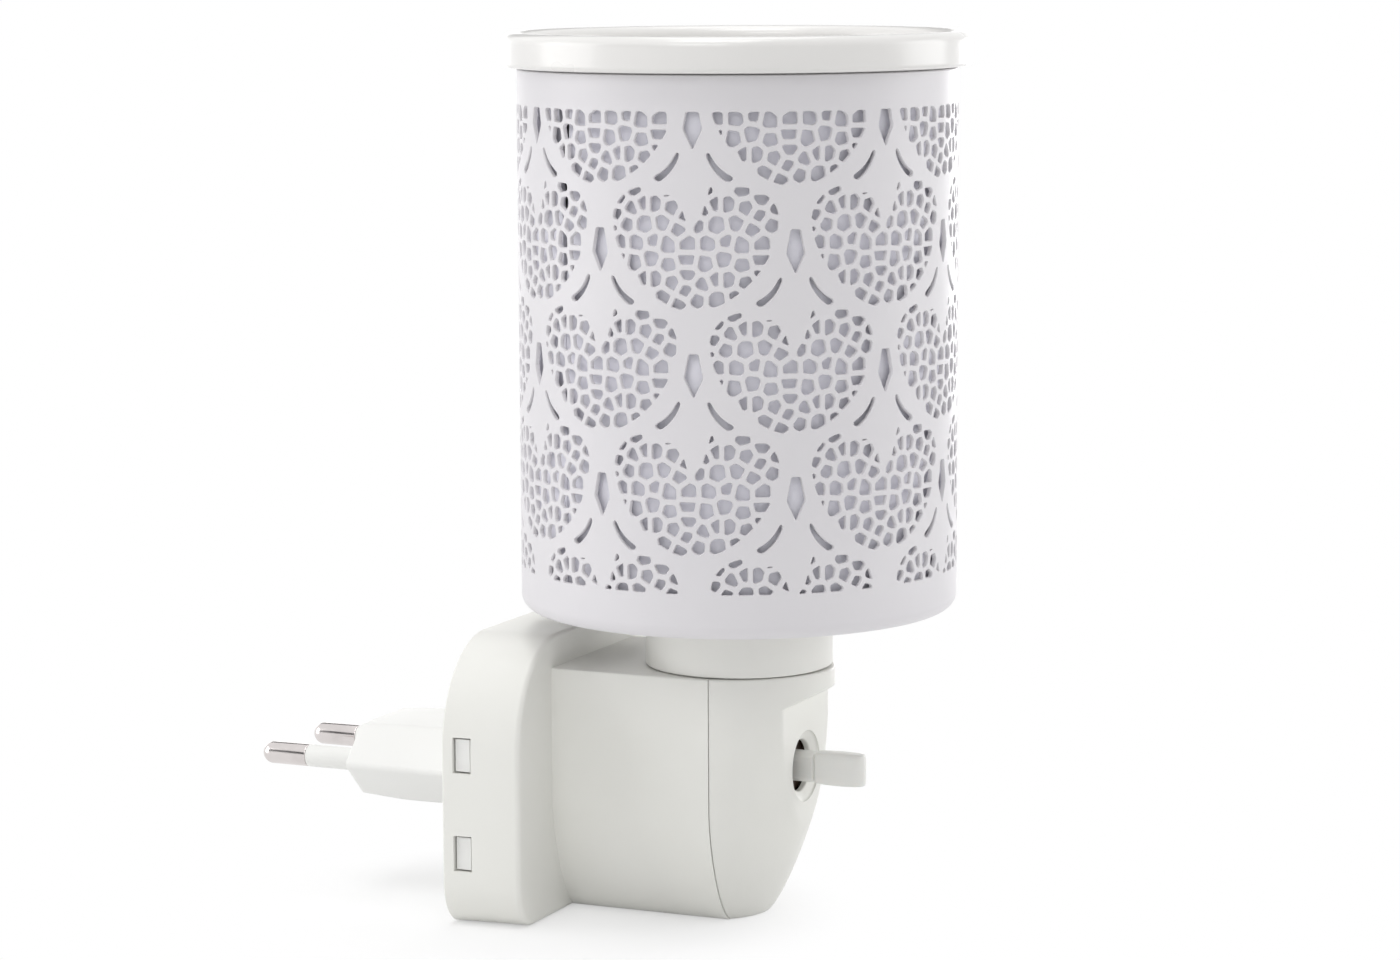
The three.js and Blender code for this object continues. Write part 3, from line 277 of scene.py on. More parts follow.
# Switch
SWITCH_Z = 26.4
SWITCH_HOLE_RADIUS = 4.5
SWITCH_HOLE_ROUND = 0.4
SWITCH_SINK_RADIUS = 6.2
SWITCH_SINK_DEPTH = 1.1
SWITCH_SINK_LEDGE = 0.3
SWITCH_SINK_ROUND = 0.5
ROTOR_FRONT_Y, ROTOR_BACK_Y = span("switch_rotor", Y)
ROTOR_RADIUS = 5.2
ROTOR_FRONT_ROUND = 0.5
ROTOR_BACK_ROUND = 0.2
KEY_EXTRA_LENGTH = 0.6
KEY_END_Y = span("switch_key", Y)[0] - KEY_EXTRA_LENGTH
KEY_TAIL_Y = span("switch_key", Y)[1]
KEY_ROOT_Y = -12.8
KEY_HALF_THICKNESS = 2.0
KEY_HALF_HEIGHT = 2.9
KEY_STEM_HALF_THICKNESS = 1.7
KEY_STEM_HALF_HEIGHT = 2.6
KEY_STEM_SHOWN = 1.6
KEY_SOCKET_DEPTH = 4.0
KEY_SOCKET_GAP = 0.3
KEY_SQUARENESS = 0.42
KEY_BULGE = 0.16
KEY_SHOULDER_SHARE = 0.05
KEY_END_ROUND = 0.4
KEY_TIP_LENGTH = 1.9
KEY_TIP_CLOSING = 0.92
KEY_RINGS = 30
KEY_RING_CROWDING = 1.6
KEY_RING_POINTS = 96
RIDGE_PITCH = 0.74
RIDGE_DEPTH = 0.07
RIDGES_END = 0.5
RIDGES_GONE = 0.2

# Camera, floor and light
FRAME_WIDTH_PX = 1400
SENSOR_WIDTH = 36.0
FOCAL_PX = 3957
CLIP_END_METRES = 50
CAMERA_TURN = 23.3
CAMERA_DISTANCE = 675.0
CAMERA_HEIGHT = 169.3
CAMERA_YAW = 0.566
CAMERA_PITCH = 7.904
CAMERA_ROLL = -0.278
FLOOR_SIZE = 6000.0
FLOOR_DROP = 0.05
FLOOR_WHITE = 0.45
FLOOR_SHADOW_X = -16.0
FLOOR_SHADOW_Y = 32.0
FLOOR_SHADOW_NEAR = 26.0
FLOOR_SHADOW_FAR = 56.0
LAMP_MIDDLE = Vector((0, 0, 80))
PINS_MIDDLE = Vector((0, 60, 25))


# Outlines
def unit(vectors):
    """Vectors brought to length 1, where they have a length."""
    return vectors / np.maximum(np.linalg.norm(vectors, axis=1, keepdims=True), NO_LENGTH)


def arc(centre, radii, start, stop, steps):
    """Arc of an ellipse, or of a circle where one radius is given, between two angles in degrees."""
    across, up = np.broadcast_to(radii, 2)
    angle = np.radians(np.linspace(start, stop, steps + 1))
    return np.stack([centre[0] + across * np.cos(angle), centre[1] + up * np.sin(angle)], 1)


def rounded(corners, radii, closed=False, steps=5):
    """Outline whose corners are replaced by arcs that touch both neighbouring sides."""
    corners = np.asarray(corners, float)
    radii = np.broadcast_to(np.asarray(radii, float), len(corners))
    pieces = []
    for i, (corner, radius) in enumerate(zip(corners, radii)):
        is_end = not closed and i in (0, len(corners) - 1)
        if is_end or radius == 0:
            pieces.append(corner[None])
            continue
        back = corners[i - 1] - corner
        ahead = corners[(i + 1) % len(corners)] - corner
        back_length, ahead_length = np.linalg.norm(back), np.linalg.norm(ahead)
        back, ahead = back / back_length, ahead / ahead_length
        half = np.arccos(np.clip(back @ ahead, -1, 1)) / 2
        reach = min(radius / np.tan(half), back_length / 2, ahead_length / 2)
        middle = (back + ahead) / np.linalg.norm(back + ahead)
        centre = corner + middle * reach / np.cos(half)
        sweep = np.pi - 2 * half
        share = np.linspace(0, 1, steps + 1)[:, None]
        start, end = corner + back * reach - centre, corner + ahead * reach - centre
        bend = (np.sin((1 - share) * sweep) * start + np.sin(share * sweep) * end) / np.sin(sweep)
        pieces.append(centre + bend)
    return np.concatenate(pieces)


def stepped(*steps):
    """Corners of a turned profile, step by step: a radius and the one or two levels of its corners."""
    return [(radius, level) for radius, *levels in steps for level in levels]


def rod(radius, low, high):
    """Corners of a plain round bar's profile."""
    return stepped((0, low), (radius, low, high), (0, high))


def upright(outline, y, z=0.0):
    """Ring in space: an outline of (x, z) points at depth y, raised by z."""
    return np.stack([outline[:, 0], np.full(len(outline), y), z + outline[:, 1]], 1)


def smooth_min(a, b, width):
    """The smaller of two values, with a rounded change from one to the other over the given width."""
    share = np.clip(0.5 + 0.5 * (b - a) / width, 0, 1)
    return b + (a - b) * share - width * share * (1 - share)


# Grids
def grid_faces(rows, columns, wrap_rows=False, wrap_columns=False):
    """Quads of a grid whose points are stored row by row."""
    i = np.arange(rows if wrap_rows else rows - 1)[:, None]
    j = np.arange(columns if wrap_columns else columns - 1)[None, :]
    below, above = i * columns, (i + 1) % rows * columns
    right = (j + 1) % columns
    return np.stack([below + j, below + right, above + right, above + j], -1).reshape(-1, 4).tolist()


def full_turn(segments):
    """Evenly spaced angles once round."""
    return np.linspace(0, 2 * np.pi, segments, endpoint=False)


def about_z(radius, turn, height):
    """Points at the given radii, angles and heights about z."""
    return np.stack(np.broadcast_arrays(radius * np.cos(turn), radius * np.sin(turn), height), -1)


def turned(profile, segments, closed=False, start=0.0):
    """Surface of revolution about z: each profile point (radius, height) goes round a circle."""
    radius, height = np.asarray(profile, float).T[:, :, None]
    points = about_z(radius, full_turn(segments) + start, height)
    return points.reshape(-1, 3), grid_faces(len(points), segments, closed, wrap_columns=True)


def turned_along_y(profile, segments, x, z, closed=False):
    """Surface of revolution about a line along y through (x, z): profile points are (radius, y)."""
    points, faces = turned(profile, segments, closed)
    return np.stack([x + points[:, 0], points[:, 2], z - points[:, 1]], 1), faces


def loft(rings):
    """Closed solid skinned through a stack of rings with equal counts, with a flat face at each end."""
    rows, columns = rings.shape[:2]
    faces = grid_faces(rows, columns, wrap_columns=True)
    last = (rows - 1) * columns
    faces.append(list(range(columns))[::-1])
    faces.append(list(range(last, last + columns)))
    return rings.reshape(-1, 3), faces


def swept(path, radius, sides):
    """Tube along a path: a circle in the plane square to the path at each point, with flat ends."""
    ahead = unit(np.gradient(path, axis=0))
    across = unit(np.cross(ahead, [0.0, 1.0, 0.0]))
    other = np.cross(ahead, across)
    turn = full_turn(sides)[:, None]
    circle = np.cos(turn) * across[:, None] + np.sin(turn) * other[:, None]
    return loft(path[:, None] + radius * circle)


def block(low, high):
    """Plain cutter with corners low and high."""
    (x0, y0, z0), (x1, y1, z1) = low, high
    ring = [(x0, y0), (x1, y0), (x1, y1), (x0, y1)]
    return loft(np.array([[(x, y, z) for x, y in ring] for z in (z0, z1)], float))


def joined(*shapes):
    """Several (points, faces) shapes as one."""
    points, faces, count = [], [], 0
    for shape_points, shape_faces in shapes:
        points.append(shape_points)
        faces.extend([[index + count for index in face] for face in shape_faces])
        count += len(shape_points)
    return np.concatenate(points), faces


# Objects
def solid(name, shape):
    """Mesh object from (points, faces): doubles merged, faces outward."""
    points, faces = shape
    mesh = bpy.data.meshes.new(name)
    mesh.from_pydata((np.asarray(points) * MM).tolist(), [], faces)
    tidy = bmesh.new()
    tidy.from_mesh(mesh)
    bmesh.ops.remove_doubles(tidy, verts=tidy.verts, dist=MERGE_DISTANCE * MM)
    bmesh.ops.dissolve_degenerate(tidy, edges=tidy.edges, dist=LEAST_EDGE * MM)
    bmesh.ops.recalc_face_normals(tidy, faces=tidy.faces)
    tidy.to_mesh(mesh)
    tidy.free()
    made = bpy.data.objects.new(name, mesh)
    bpy.context.scene.collection.objects.link(made)
    return made


def combine(base, operation, *shapes):
    """Joins shapes to a solid, or cuts them out of it, and bakes the result into its mesh."""
    for shape in shapes:
        tool = solid("tool", shape)
        step = base.modifiers.new("step", "BOOLEAN")
        step.operation = operation
        step.solver = "EXACT"
        step.object = tool
        evaluated = base.evaluated_get(bpy.context.evaluated_depsgraph_get())
        mesh = bpy.data.meshes.new_from_object(evaluated)
        base.modifiers.clear()
        old = base.data
        base.data = mesh
        bpy.data.meshes.remove(old)
        bpy.data.objects.remove(tool)


def dress(piece, finish, slot, body, *nodes):
    """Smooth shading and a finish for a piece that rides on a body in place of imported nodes."""
    mesh = piece.data
    mesh.name = piece.name
    mesh.shade_smooth()
    mesh.set_sharp_from_angle(angle=math.radians(SHARP_ANGLE))
    mesh.materials.clear()
    mesh.materials.append(finish)
    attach(piece, body)
    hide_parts(*nodes)


# Shader graphs
class Socket:
    """A shader value that takes part in Python arithmetic: every operator adds one Math node."""

    def __init__(self, graph, socket):
        self.graph = graph
        self.socket = socket

    def math(self, operation, first, second):
        return self.graph.node("ShaderNodeMath", {"operation": operation}, {0: first, 1: second})

    def __add__(self, other):
        return self.math("ADD", self, other)

    def __sub__(self, other):
        return self.math("SUBTRACT", self, other)

    def __rsub__(self, other):
        return self.math("SUBTRACT", other, self)

    def __mul__(self, other):
        return self.math("MULTIPLY", self, other)

    __radd__ = __add__
    __rmul__ = __mul__


class Graph:
    """The node tree of a material or a world, and the nodes that its formula asks for."""

    def __init__(self, owner):
        owner.use_nodes = True
        self.owner = owner
        self.tree = owner.node_tree
        self.tree.nodes.clear()

    def node(self, kind, settings, inputs, output=0):
        made = self.tree.nodes.new(kind)
        for key, value in settings.items():
            setattr(made, key, value)
        for key, value in inputs.items():
            if isinstance(value, Socket):
                self.tree.links.new(value.socket, made.inputs[key])
            else:
                made.inputs[key].default_value = value
        return Socket(self, made.outputs[output]) if made.outputs else None

    def place(self, stretch=(1, 1, 1)):
        """Object coordinates, with the pattern drawn out along an axis where its stretch is above 1."""
        own = self.node("ShaderNodeTexCoord", {}, {}, "Object")
        scale = tuple(1 / s for s in stretch)
        return self.node("ShaderNodeMapping", {}, {"Vector": own, "Scale": scale})

    def noise(self, size, detail=2.0, stretch=(1, 1, 1)):
        """Cloudy value round 0.5 whose patches are about size millimetres across."""
        inputs = {"Vector": self.place(stretch), "Scale": 1 / (size * MM), "Detail": detail}
        return self.node("ShaderNodeTexNoise", {}, inputs)

    def speckle(self, size):
        """Distance to the nearest of scattered points about size millimetres apart."""
        inputs = {"Vector": self.place(), "Scale": 1 / (size * MM)}
        return self.node("ShaderNodeTexVoronoi", {}, inputs)

    def mix(self, share, first, second):
        inputs = {0: share, 6: (*first, 1), 7: (*second, 1)}
        return self.node("ShaderNodeMix", {"data_type": "RGBA", "clamp_factor": True}, inputs, 2)

    def bump(self, height, depth):
        """Normal of a surface whose height value rises by depth millimetres."""
        inputs = {"Height": height, "Distance": depth * MM, "Strength": 1.0}
        return self.node("ShaderNodeBump", {}, inputs)

    def shown(self, shader):
        """The material, ending in the given shader."""
        self.node("ShaderNodeOutputMaterial", {}, {"Surface": shader})
        return self.owner

    def surface(self, inputs):
        """The material, ending in a principled shader with these inputs."""
        return self.shown(self.node("ShaderNodeBsdfPrincipled", {}, inputs))


def material(name):
    return Graph(bpy.data.materials.new(name))


def moulded_plastic(name, deep, pale, roughness, subsurface=0.0):
    """Spark-eroded moulding: faint cloudy colour, fine grain in the gloss and in the surface."""
    graph = material(name)
    cloud = graph.noise(26, 3.0)
    grain = graph.noise(0.32)
    flow = graph.noise(7, stretch=(1, 1, 3))
    return graph.surface({
        "Base Color": graph.mix(cloud * 1.6 - 0.3, deep, pale),
        "Roughness": roughness - 0.06 + 0.08 * grain + 0.04 * flow,
        "Normal": graph.bump(grain + 0.6 * flow, 0.012),
        "Subsurface Weight": subsurface,
        "Subsurface Radius": (1.0, 0.9, 0.8),
        "Subsurface Scale": 1.2 * MM,
        "IOR": 1.47,
    })


def coated_sheet(name, deep, pale):
    """Satin stove coating on sheet steel: slight orange peel, fine dust grain, a soft sheen."""
    graph = material(name)
    cloud = graph.noise(34)
    peel = graph.noise(1.5, 1.0)
    grain = graph.noise(0.25)
    return graph.surface({
        "Base Color": graph.mix(cloud * 1.5 - 0.25, deep, pale),
        "Roughness": 0.4 + 0.08 * grain + 0.05 * peel,
        "Normal": graph.bump(peel + 0.35 * grain, 0.014),
        "Coat Weight": 0.12,
        "Coat Roughness": 0.35,
    })


def diffuser_film(name, deep, pale):
    """Frosted sheet: fibrous clouding drawn out round the roll, and a dull surface."""
    graph = material(name)
    fibre = graph.noise(1.1, 3.0, (3, 3, 1))
    cloud = graph.noise(18)
    return graph.surface({
        "Base Color": graph.mix(fibre * 0.9 + cloud * 0.7 - 0.3, deep, pale),
        "Roughness": 0.52 + 0.16 * fibre,
        "Normal": graph.bump(fibre, 0.02),
    })


def glazed_ceramic(name, deep, pale):
    """White glaze: slow waves from the wheel, small pits, and a clear wet coat."""
    graph = material(name)
    cloud = graph.noise(22, 3.0)
    wave = graph.noise(9, 1.0, (1, 1, 0.5))
    pit = graph.speckle(3.2)
    pitted = graph.node("ShaderNodeMapRange", {}, {0: pit, 1: 0.03, 2: 0.09})
    return graph.surface({
        "Base Color": graph.mix(cloud * 1.5 - 0.25, deep, pale),
        "Roughness": 0.34 - 0.1 * cloud,
        "Normal": graph.bump(wave + 0.15 * pitted, 0.05),
        "Coat Weight": 0.45,
        "Coat Roughness": 0.12,
    })


def drawn_metal(name, deep, pale, roughness, stretch=(1, 1, 1)):
    """Bright metal: draw lines along the stretch, stains in the colour and gloss."""
    graph = material(name)
    lines = graph.noise(0.22, 3.0, stretch)
    stain = graph.noise(4.5, 3.0)
    return graph.surface({
        "Base Color": graph.mix(stain * 1.6 - 0.3, deep, pale),
        "Metallic": 1.0,
        "Roughness": roughness - 0.06 + 0.12 * lines + 0.06 * stain,
        "Normal": graph.bump(lines, 0.004),
    })


def thermoset(name, deep, pale):
    """Pressed dark resin: marbled filler and a worn polish."""
    graph = material(name)
    marble = graph.noise(2.2, 5.0, (1, 2, 1))
    grain = graph.noise(0.2)
    return graph.surface({
        "Base Color": graph.mix(marble * 2.2 - 0.6, deep, pale),
        "Roughness": 0.3 + 0.2 * marble,
        "Normal": graph.bump(grain, 0.01),
    })


def blown_glass(name):
    """Clear lamp glass with a faint breath of haze."""
    graph = material(name)
    haze = graph.noise(6)
    ripple = graph.noise(5, 1.0)
    return graph.surface({
        "Base Color": (0.97, 0.985, 0.98, 1),
        "Roughness": 0.03 * haze,
        "Normal": graph.bump(ripple, 0.02),
        "Transmission Weight": 1.0,
        "IOR": 1.46,
    })


def insulation(name, deep, pale):
    """Soft wire sheath: slight colour drift along the run and a dull skin."""
    graph = material(name)
    drift = graph.noise(5)
    grain = graph.noise(0.3)
    return graph.surface({
        "Base Color": graph.mix(drift * 1.5 - 0.25, deep, pale),
        "Roughness": 0.4 + 0.15 * grain,
        "Normal": graph.bump(grain, 0.008),
    })


BASE_PLASTIC = moulded_plastic("base_plastic", (0.785, 0.783, 0.74), (0.825, 0.823, 0.79), 0.46)
PLUG_PLASTIC = moulded_plastic("plug_plastic", (0.78, 0.78, 0.755), (0.815, 0.815, 0.80), 0.46)
KEY_PLASTIC = moulded_plastic("key_plastic", (0.755, 0.755, 0.725), (0.80, 0.80, 0.775), 0.4, 0.25)
SHADE_COAT = coated_sheet("shade_coat", (0.68, 0.665, 0.69), (0.72, 0.705, 0.725))
LINER_FILM = diffuser_film("liner_film", (0.895, 0.89, 0.96), (0.93, 0.925, 0.99))
DISH_GLAZE = glazed_ceramic("dish_glaze", (0.74, 0.73, 0.715), (0.78, 0.77, 0.755))
PIN_NICKEL = drawn_metal("pin_nickel", (0.64, 0.60, 0.59), (0.77, 0.73, 0.72), 0.17, (1, 14, 1))
BRASS = drawn_metal("pressed_brass", (0.6, 0.42, 0.17), (0.78, 0.58, 0.28), 0.3)
STEEL = drawn_metal("bright_steel", (0.5, 0.51, 0.52), (0.66, 0.67, 0.68), 0.32)
CAP_METAL = drawn_metal("cap_metal", (0.66, 0.65, 0.61), (0.78, 0.77, 0.74), 0.3)
TUNGSTEN = drawn_metal("tungsten", (0.2, 0.2, 0.21), (0.34, 0.34, 0.35), 0.42)
BAKELITE = thermoset("bakelite", (0.022, 0.014, 0.01), (0.06, 0.036, 0.022))
LAMP_GLASS = blown_glass("lamp_glass")
BROWN_SHEATH = insulation("brown_sheath", (0.16, 0.07, 0.03), (0.23, 0.11, 0.05))
BLUE_SHEATH = insulation("blue_sheath", (0.05, 0.13, 0.37), (0.08, 0.19, 0.48))


# Punched shade
def clip(polygon, point, normal):
    """Part of a convex polygon that lies behind the line through a point, seen along its normal."""
    side = (polygon - point) @ normal
    ahead, side_ahead = np.roll(polygon, -1, 0), np.roll(side, -1)
    crosses = (side <= 0) != (side_ahead <= 0)
    share = np.where(crosses, side / np.where(crosses, side - side_ahead, 1), 0)
    cut = polygon + share[:, None] * (ahead - polygon)
    keep = np.stack([side <= 0, crosses], 1).ravel()
    return np.stack([polygon, cut], 1).reshape(-1, 2)[keep]


def area(polygon):
    """Shoelace area of a polygon that runs anticlockwise."""
    if len(polygon) < 3:
        return 0.0
    x, y = polygon.T
    return 0.5 * np.sum(x * np.roll(y, -1) - y * np.roll(x, -1))


def side_normals(polygon):
    """Outward normals of a polygon's sides, as long as the sides."""
    sides = np.roll(polygon, -1, 0) - polygon
    return np.stack([sides[:, 1], -sides[:, 0]], 1)


def softened(polygon, reach):
    """Polygon whose corners are cut by a short side that starts up to reach away on both sides."""
    polygon = polygon[np.linalg.norm(side_normals(polygon), axis=1) > LEAST_SIDE]
    if len(polygon) < 3 or area(polygon) < LEAST_CELL:
        return polygon[:0]
    cuts = []
    for step in (1, -1):
        side = np.roll(polygon, step, 0) - polygon
        length = np.linalg.norm(side, axis=1, keepdims=True)
        cuts.append(polygon + side * np.minimum(reach / length, CELL_ROUND_SHARE))
    return np.stack(cuts, 1).reshape(-1, 2)


def grown(polygon, by):
    """Outline moved outward by a small amount along the mean of its two side normals at each point."""
    normals = unit(side_normals(polygon))
    return polygon + by * unit(normals + np.roll(normals, 1, 0))


def mosaic_cells():
    """One tile's stones, repeated without a seam: each stone's cell, drawn in by half a bar.

    Two cells part where the squared distance to a stone, less the squared radius of a disc as large
    as the stone, is the same for both.
    """
    x, z, breadth = np.array(MOSAIC_STONES).T
    shifts = np.stack(np.meshgrid(TILES_ACROSS, TILES_UP), -1).reshape(-1, 1, 2)
    everywhere = (np.stack([x, z], 1) + shifts * MOSAIC_TILE).reshape(-1, 2)
    sizes = np.tile(breadth ** 2 / np.pi, len(shifts))
    square = np.array([[-1, -1], [1, -1], [1, 1], [-1, 1]]) * MOSAIC_TILE / 2
    cells = []
    for stone, size in zip(everywhere, sizes):
        apart = everywhere - stone
        distance = np.linalg.norm(apart, axis=1)
        cell = stone + square
        for k in np.argsort(distance)[1:NEAREST_STONES]:
            normal = apart[k] / distance[k]
            reach = distance[k] + (size - sizes[k]) / distance[k] - MOSAIC_BAR
            cell = clip(cell, stone + normal * reach / 2, normal)
        cells.append(cell)
    return cells


def heart_outline():
    """Convex outline of a heart from its foot: a superelliptic bowl, and an arc for each lobe above."""
    turn = np.radians(np.linspace(-90, 0, 17))
    share = 2 / HEART_BOWL_POWER
    bowl = np.stack([
        HEART_HALF_WIDTH * np.cos(turn) ** share,
        HEART_BOWL - HEART_BOWL * np.abs(np.sin(turn)) ** share,
    ], 1)
    lobe = arc((HEART_HALF_WIDTH - HEART_LOBE[0], HEART_BOWL), HEART_LOBE, 0, 90, 10)[1:]
    right = np.concatenate([[(0, 0)], bowl[1:], lobe])
    return np.concatenate([right, right[:0:-1] * [-1, 1]])


def beside_stalk(cell):
    """Parts of a cell left and right of the pointed stalk that hangs between the two lobes."""
    parts = []
    for side in (-1, 1):
        if cell[:, 1].mean() > STALK_SHOULDER:
            parts.append(clip(cell, (side * STALK_HALF_WIDTH, STALK_SHOULDER), (-side, STALK_FLARE)))
            continue
        outward = (-side * (STALK_SHOULDER - STALK_POINT), STALK_HALF_WIDTH)
        under = clip(cell, (0, STALK_POINT), outward)
        parts.append(clip(under, (side * MOSAIC_BAR / 4, 0), (-side, 0)))
    return parts


def heart_cells():
    """Mosaic cells of one heart, cut straight by its outline, its stalk and the leaves' lower border."""
    outline = heart_outline()
    normals = side_normals(outline)
    kept = []
    for cell in mosaic_cells():
        for point, normal in zip(outline, normals):
            cell = clip(cell, point, normal)
        if len(cell) and SHOULDER_FROM < abs(cell[:, 0].mean()) < SHOULDER_TO:
            cell = clip(cell, (0, SHOULDER_LEVEL), (0, 1))
        if area(cell) < LEAST_CELL:
            continue
        straddles = cell[:, 0].min() < 0 < cell[:, 0].max()
        is_near = straddles or np.abs(cell[:, 0]).min() < 2 * STALK_HALF_WIDTH
        is_cut = is_near and cell[:, 1].max() > STALK_POINT
        kept.extend(beside_stalk(cell) if is_cut else [cell])
    return [cell for cell in kept if area(cell) > LEAST_CELL]


def crescent(side):
    """Leaf beside a diamond's foot: a slanted, bowed line with round ends, slimmer to its upper end."""
    cap = np.radians(np.linspace(-90, 90, 6))
    end = LEAF_LENGTH / 2 - LEAF_HALF_WIDTH
    run = np.linspace(-1, 1, 7)[1:-1] * end
    bulge = LEAF_HALF_WIDTH * np.cos(cap)
    along = np.concatenate([end + bulge, run[::-1], -end - bulge, run])
    width = np.ones(len(run))
    off = LEAF_HALF_WIDTH * np.concatenate([np.sin(cap), width, -np.sin(cap), -width])
    off = off * (1 - LEAF_TAPER * (0.5 - along / LEAF_LENGTH))
    off = off - LEAF_BOW * (1 - (2 * along / LEAF_LENGTH) ** 2)
    slant = np.radians(LEAF_SLANT)
    u = LEAF_OFFSET + along * np.cos(slant) + off * np.sin(slant)
    z = LEAF_RISE - along * np.sin(slant) + off * np.cos(slant)
    leaf = np.stack([side * u, z], 1)
    return leaf if area(leaf) > 0 else leaf[::-1]


def pattern_outlines():
    """All openings on the unrolled wall: (distance along it from the plain seam, height)."""
    length = 2 * np.pi * SHADE_RADIUS
    pitch = length / PATTERN_COLUMNS
    start = np.radians(PATTERN_TURN - PLAIN_SEAM_TURN) * SHADE_RADIUS
    bounds = [
        ((0, PATTERN_LOW), (0, -1)), ((0, PATTERN_HIGH), (0, 1)),
        ((PLAIN_SEAM / 2, 0), (-1, 0)), ((length - PLAIN_SEAM / 2, 0), (1, 0)),
    ]
    heart = heart_cells()
    diamond = np.array(DIAMOND) + [0, DIAMOND_RISE]
    leaves = [crescent(-1), crescent(1)]
    outlines = []
    for row in range(ROWS):
        foot = PATTERN_LOW - FIRST_ROW_DROP + row * ROW_PITCH
        half_step = 0.5 if row % 2 == 0 else 0
        for column in range(-1, PATTERN_COLUMNS + 2):
            place = np.array([start + pitch * (column + half_step), foot])
            beside = place + [pitch / 2, 0]
            for cell in [*(cell + place for cell in heart), diamond + beside]:
                for point, normal in bounds:
                    cell = clip(cell, point, normal)
                if area(cell) > LEAST_CELL:
                    outlines.append(softened(cell, CELL_ROUND))
            for leaf in leaves:
                moved = leaf + beside
                if max(((moved - point) @ normal).max() for point, normal in bounds) < 0:
                    outlines.append(moved)
    return [outline for outline in outlines if len(outline)]


def wrapped(flat, radius):
    """Rolls (distance along the wall, height) points onto a cylinder of the given radius."""
    return about_z(radius, flat[:, 0] / SHADE_RADIUS + np.radians(PLAIN_SEAM_TURN), flat[:, 1])


def clear_points(columns, rows, rings):
    """Grid points of the flat strip that keep clear of all openings."""
    fill = np.stack(np.meshgrid(columns[1:-1:2], rows[1:-1]), -1).reshape(-1, 2)
    taken = {tuple(key) for key in np.floor(rings / FILL_CLEARANCE).astype(int)}
    around = [(i, j) for i in (-1, 0, 1) for j in (-1, 0, 1)]
    free = [
        not any((i + di, j + dj) in taken for di, dj in around)
        for i, j in np.floor(fill / FILL_CLEARANCE).astype(int)
    ]
    return fill[free]


def punched_strip(low, high):
    """Punched part of the wall: a flat sheet cut into triangles round its openings, rolled up twice for
    its two faces. Round every opening the coated outer edge is rounded off to a straight cut."""
    outlines = pattern_outlines()
    rings = np.concatenate(outlines)
    length = 2 * np.pi * SHADE_RADIUS
    columns = np.linspace(0, length, WALL_COLUMNS + 1)
    rows = np.linspace(low, high, int((high - low) / FILL_STEP) + 1)
    border = [(x, z) for z in (low, high) for x in columns]
    border += [(x, z) for x in (0, length) for z in rows[1:-1]]
    outer_rings = np.concatenate([grown(outline, PUNCH_ROUND) for outline in outlines])
    flat = np.concatenate([outer_rings, border, clear_points(columns, rows, rings)])
    ends = np.cumsum([len(outline) for outline in outlines])
    loops = [list(range(end - len(outline), end)) for end, outline in zip(ends, outlines)]
    points, _, triangles, origins, _, holes = delaunay_2d_cdt(
        [Vector(p) for p in flat], [], loops, 0, MEET_DISTANCE)
    points = np.array([tuple(p) for p in points])
    place_of = np.empty(len(flat), int)
    for made, given in enumerate(origins):
        place_of[given] = made
    sheet = np.array([t for t, hole in zip(triangles, holes) if not hole])
    count = len(points)
    outer = place_of[:len(rings)]
    inner_flat = points.copy()
    inner_flat[outer] = rings
    ahead = np.concatenate([np.roll(loop, -1) for loop in loops])
    outer_ahead = outer[ahead]
    edge, edge_ahead = 2 * count + np.arange(len(rings)), 2 * count + ahead
    rounding = np.stack([outer, outer_ahead, edge_ahead, edge], 1)
    cut = np.stack([edge, edge_ahead, outer_ahead + count, outer + count], 1)
    shell = np.concatenate([
        wrapped(points, SHADE_RADIUS),
        wrapped(inner_flat, SHADE_RADIUS - SHADE_WALL),
        wrapped(rings, SHADE_RADIUS - PUNCH_ROUND_DEPTH),
    ])
    faces = np.concatenate([rounding, cut]).tolist()
    return shell, [*sheet.tolist(), *(sheet[:, ::-1] + count).tolist(), *faces]


def shade_wall():
    """Rolled can wall: plain top band, punched strip, and a lower band that turns in to a lip."""
    low, high = PATTERN_LOW - STRIP_EDGE, PATTERN_HIGH + STRIP_EDGE
    inner = SHADE_RADIUS - SHADE_WALL
    foot = SHADE_BOTTOM - SHADE_DROP
    corner = (SHADE_RADIUS - SHADE_CORNER, foot + SHADE_CORNER)
    lip = corner[0] - SHADE_LIP
    top = stepped((SHADE_RADIUS, high, SHADE_TOP), (inner, SHADE_TOP, high))
    bottom = np.concatenate([
        [(SHADE_RADIUS, low)],
        arc(corner, SHADE_CORNER, 0, -90, 10),
        [(lip, foot), (lip, foot + SHADE_WALL)],
        arc(corner, SHADE_CORNER - SHADE_WALL, -90, 0, 10),
        [(inner, low)],
    ])
    profiles = (rounded(top, SHADE_EDGE_ROUND), bottom)
    start = np.radians(PLAIN_SEAM_TURN)
    bands = [turned(profile, WALL_COLUMNS, start=start) for profile in profiles]
    return solid("punched_shade", joined(punched_strip(low, high), *bands))


def shade_base():
    """Flat disc with a round hole, carried by the wall's lip."""
    corners = stepped(
        (SHADE_HOLE_RADIUS, BASE_BOTTOM), (BASE_RADIUS, BASE_BOTTOM, BASE_TOP),
        (SHADE_HOLE_RADIUS, BASE_TOP))
    profile = rounded(corners, SHADE_EDGE_ROUND, closed=True, steps=3)
    return solid("shade_floor", turned(profile, 120, closed=True))


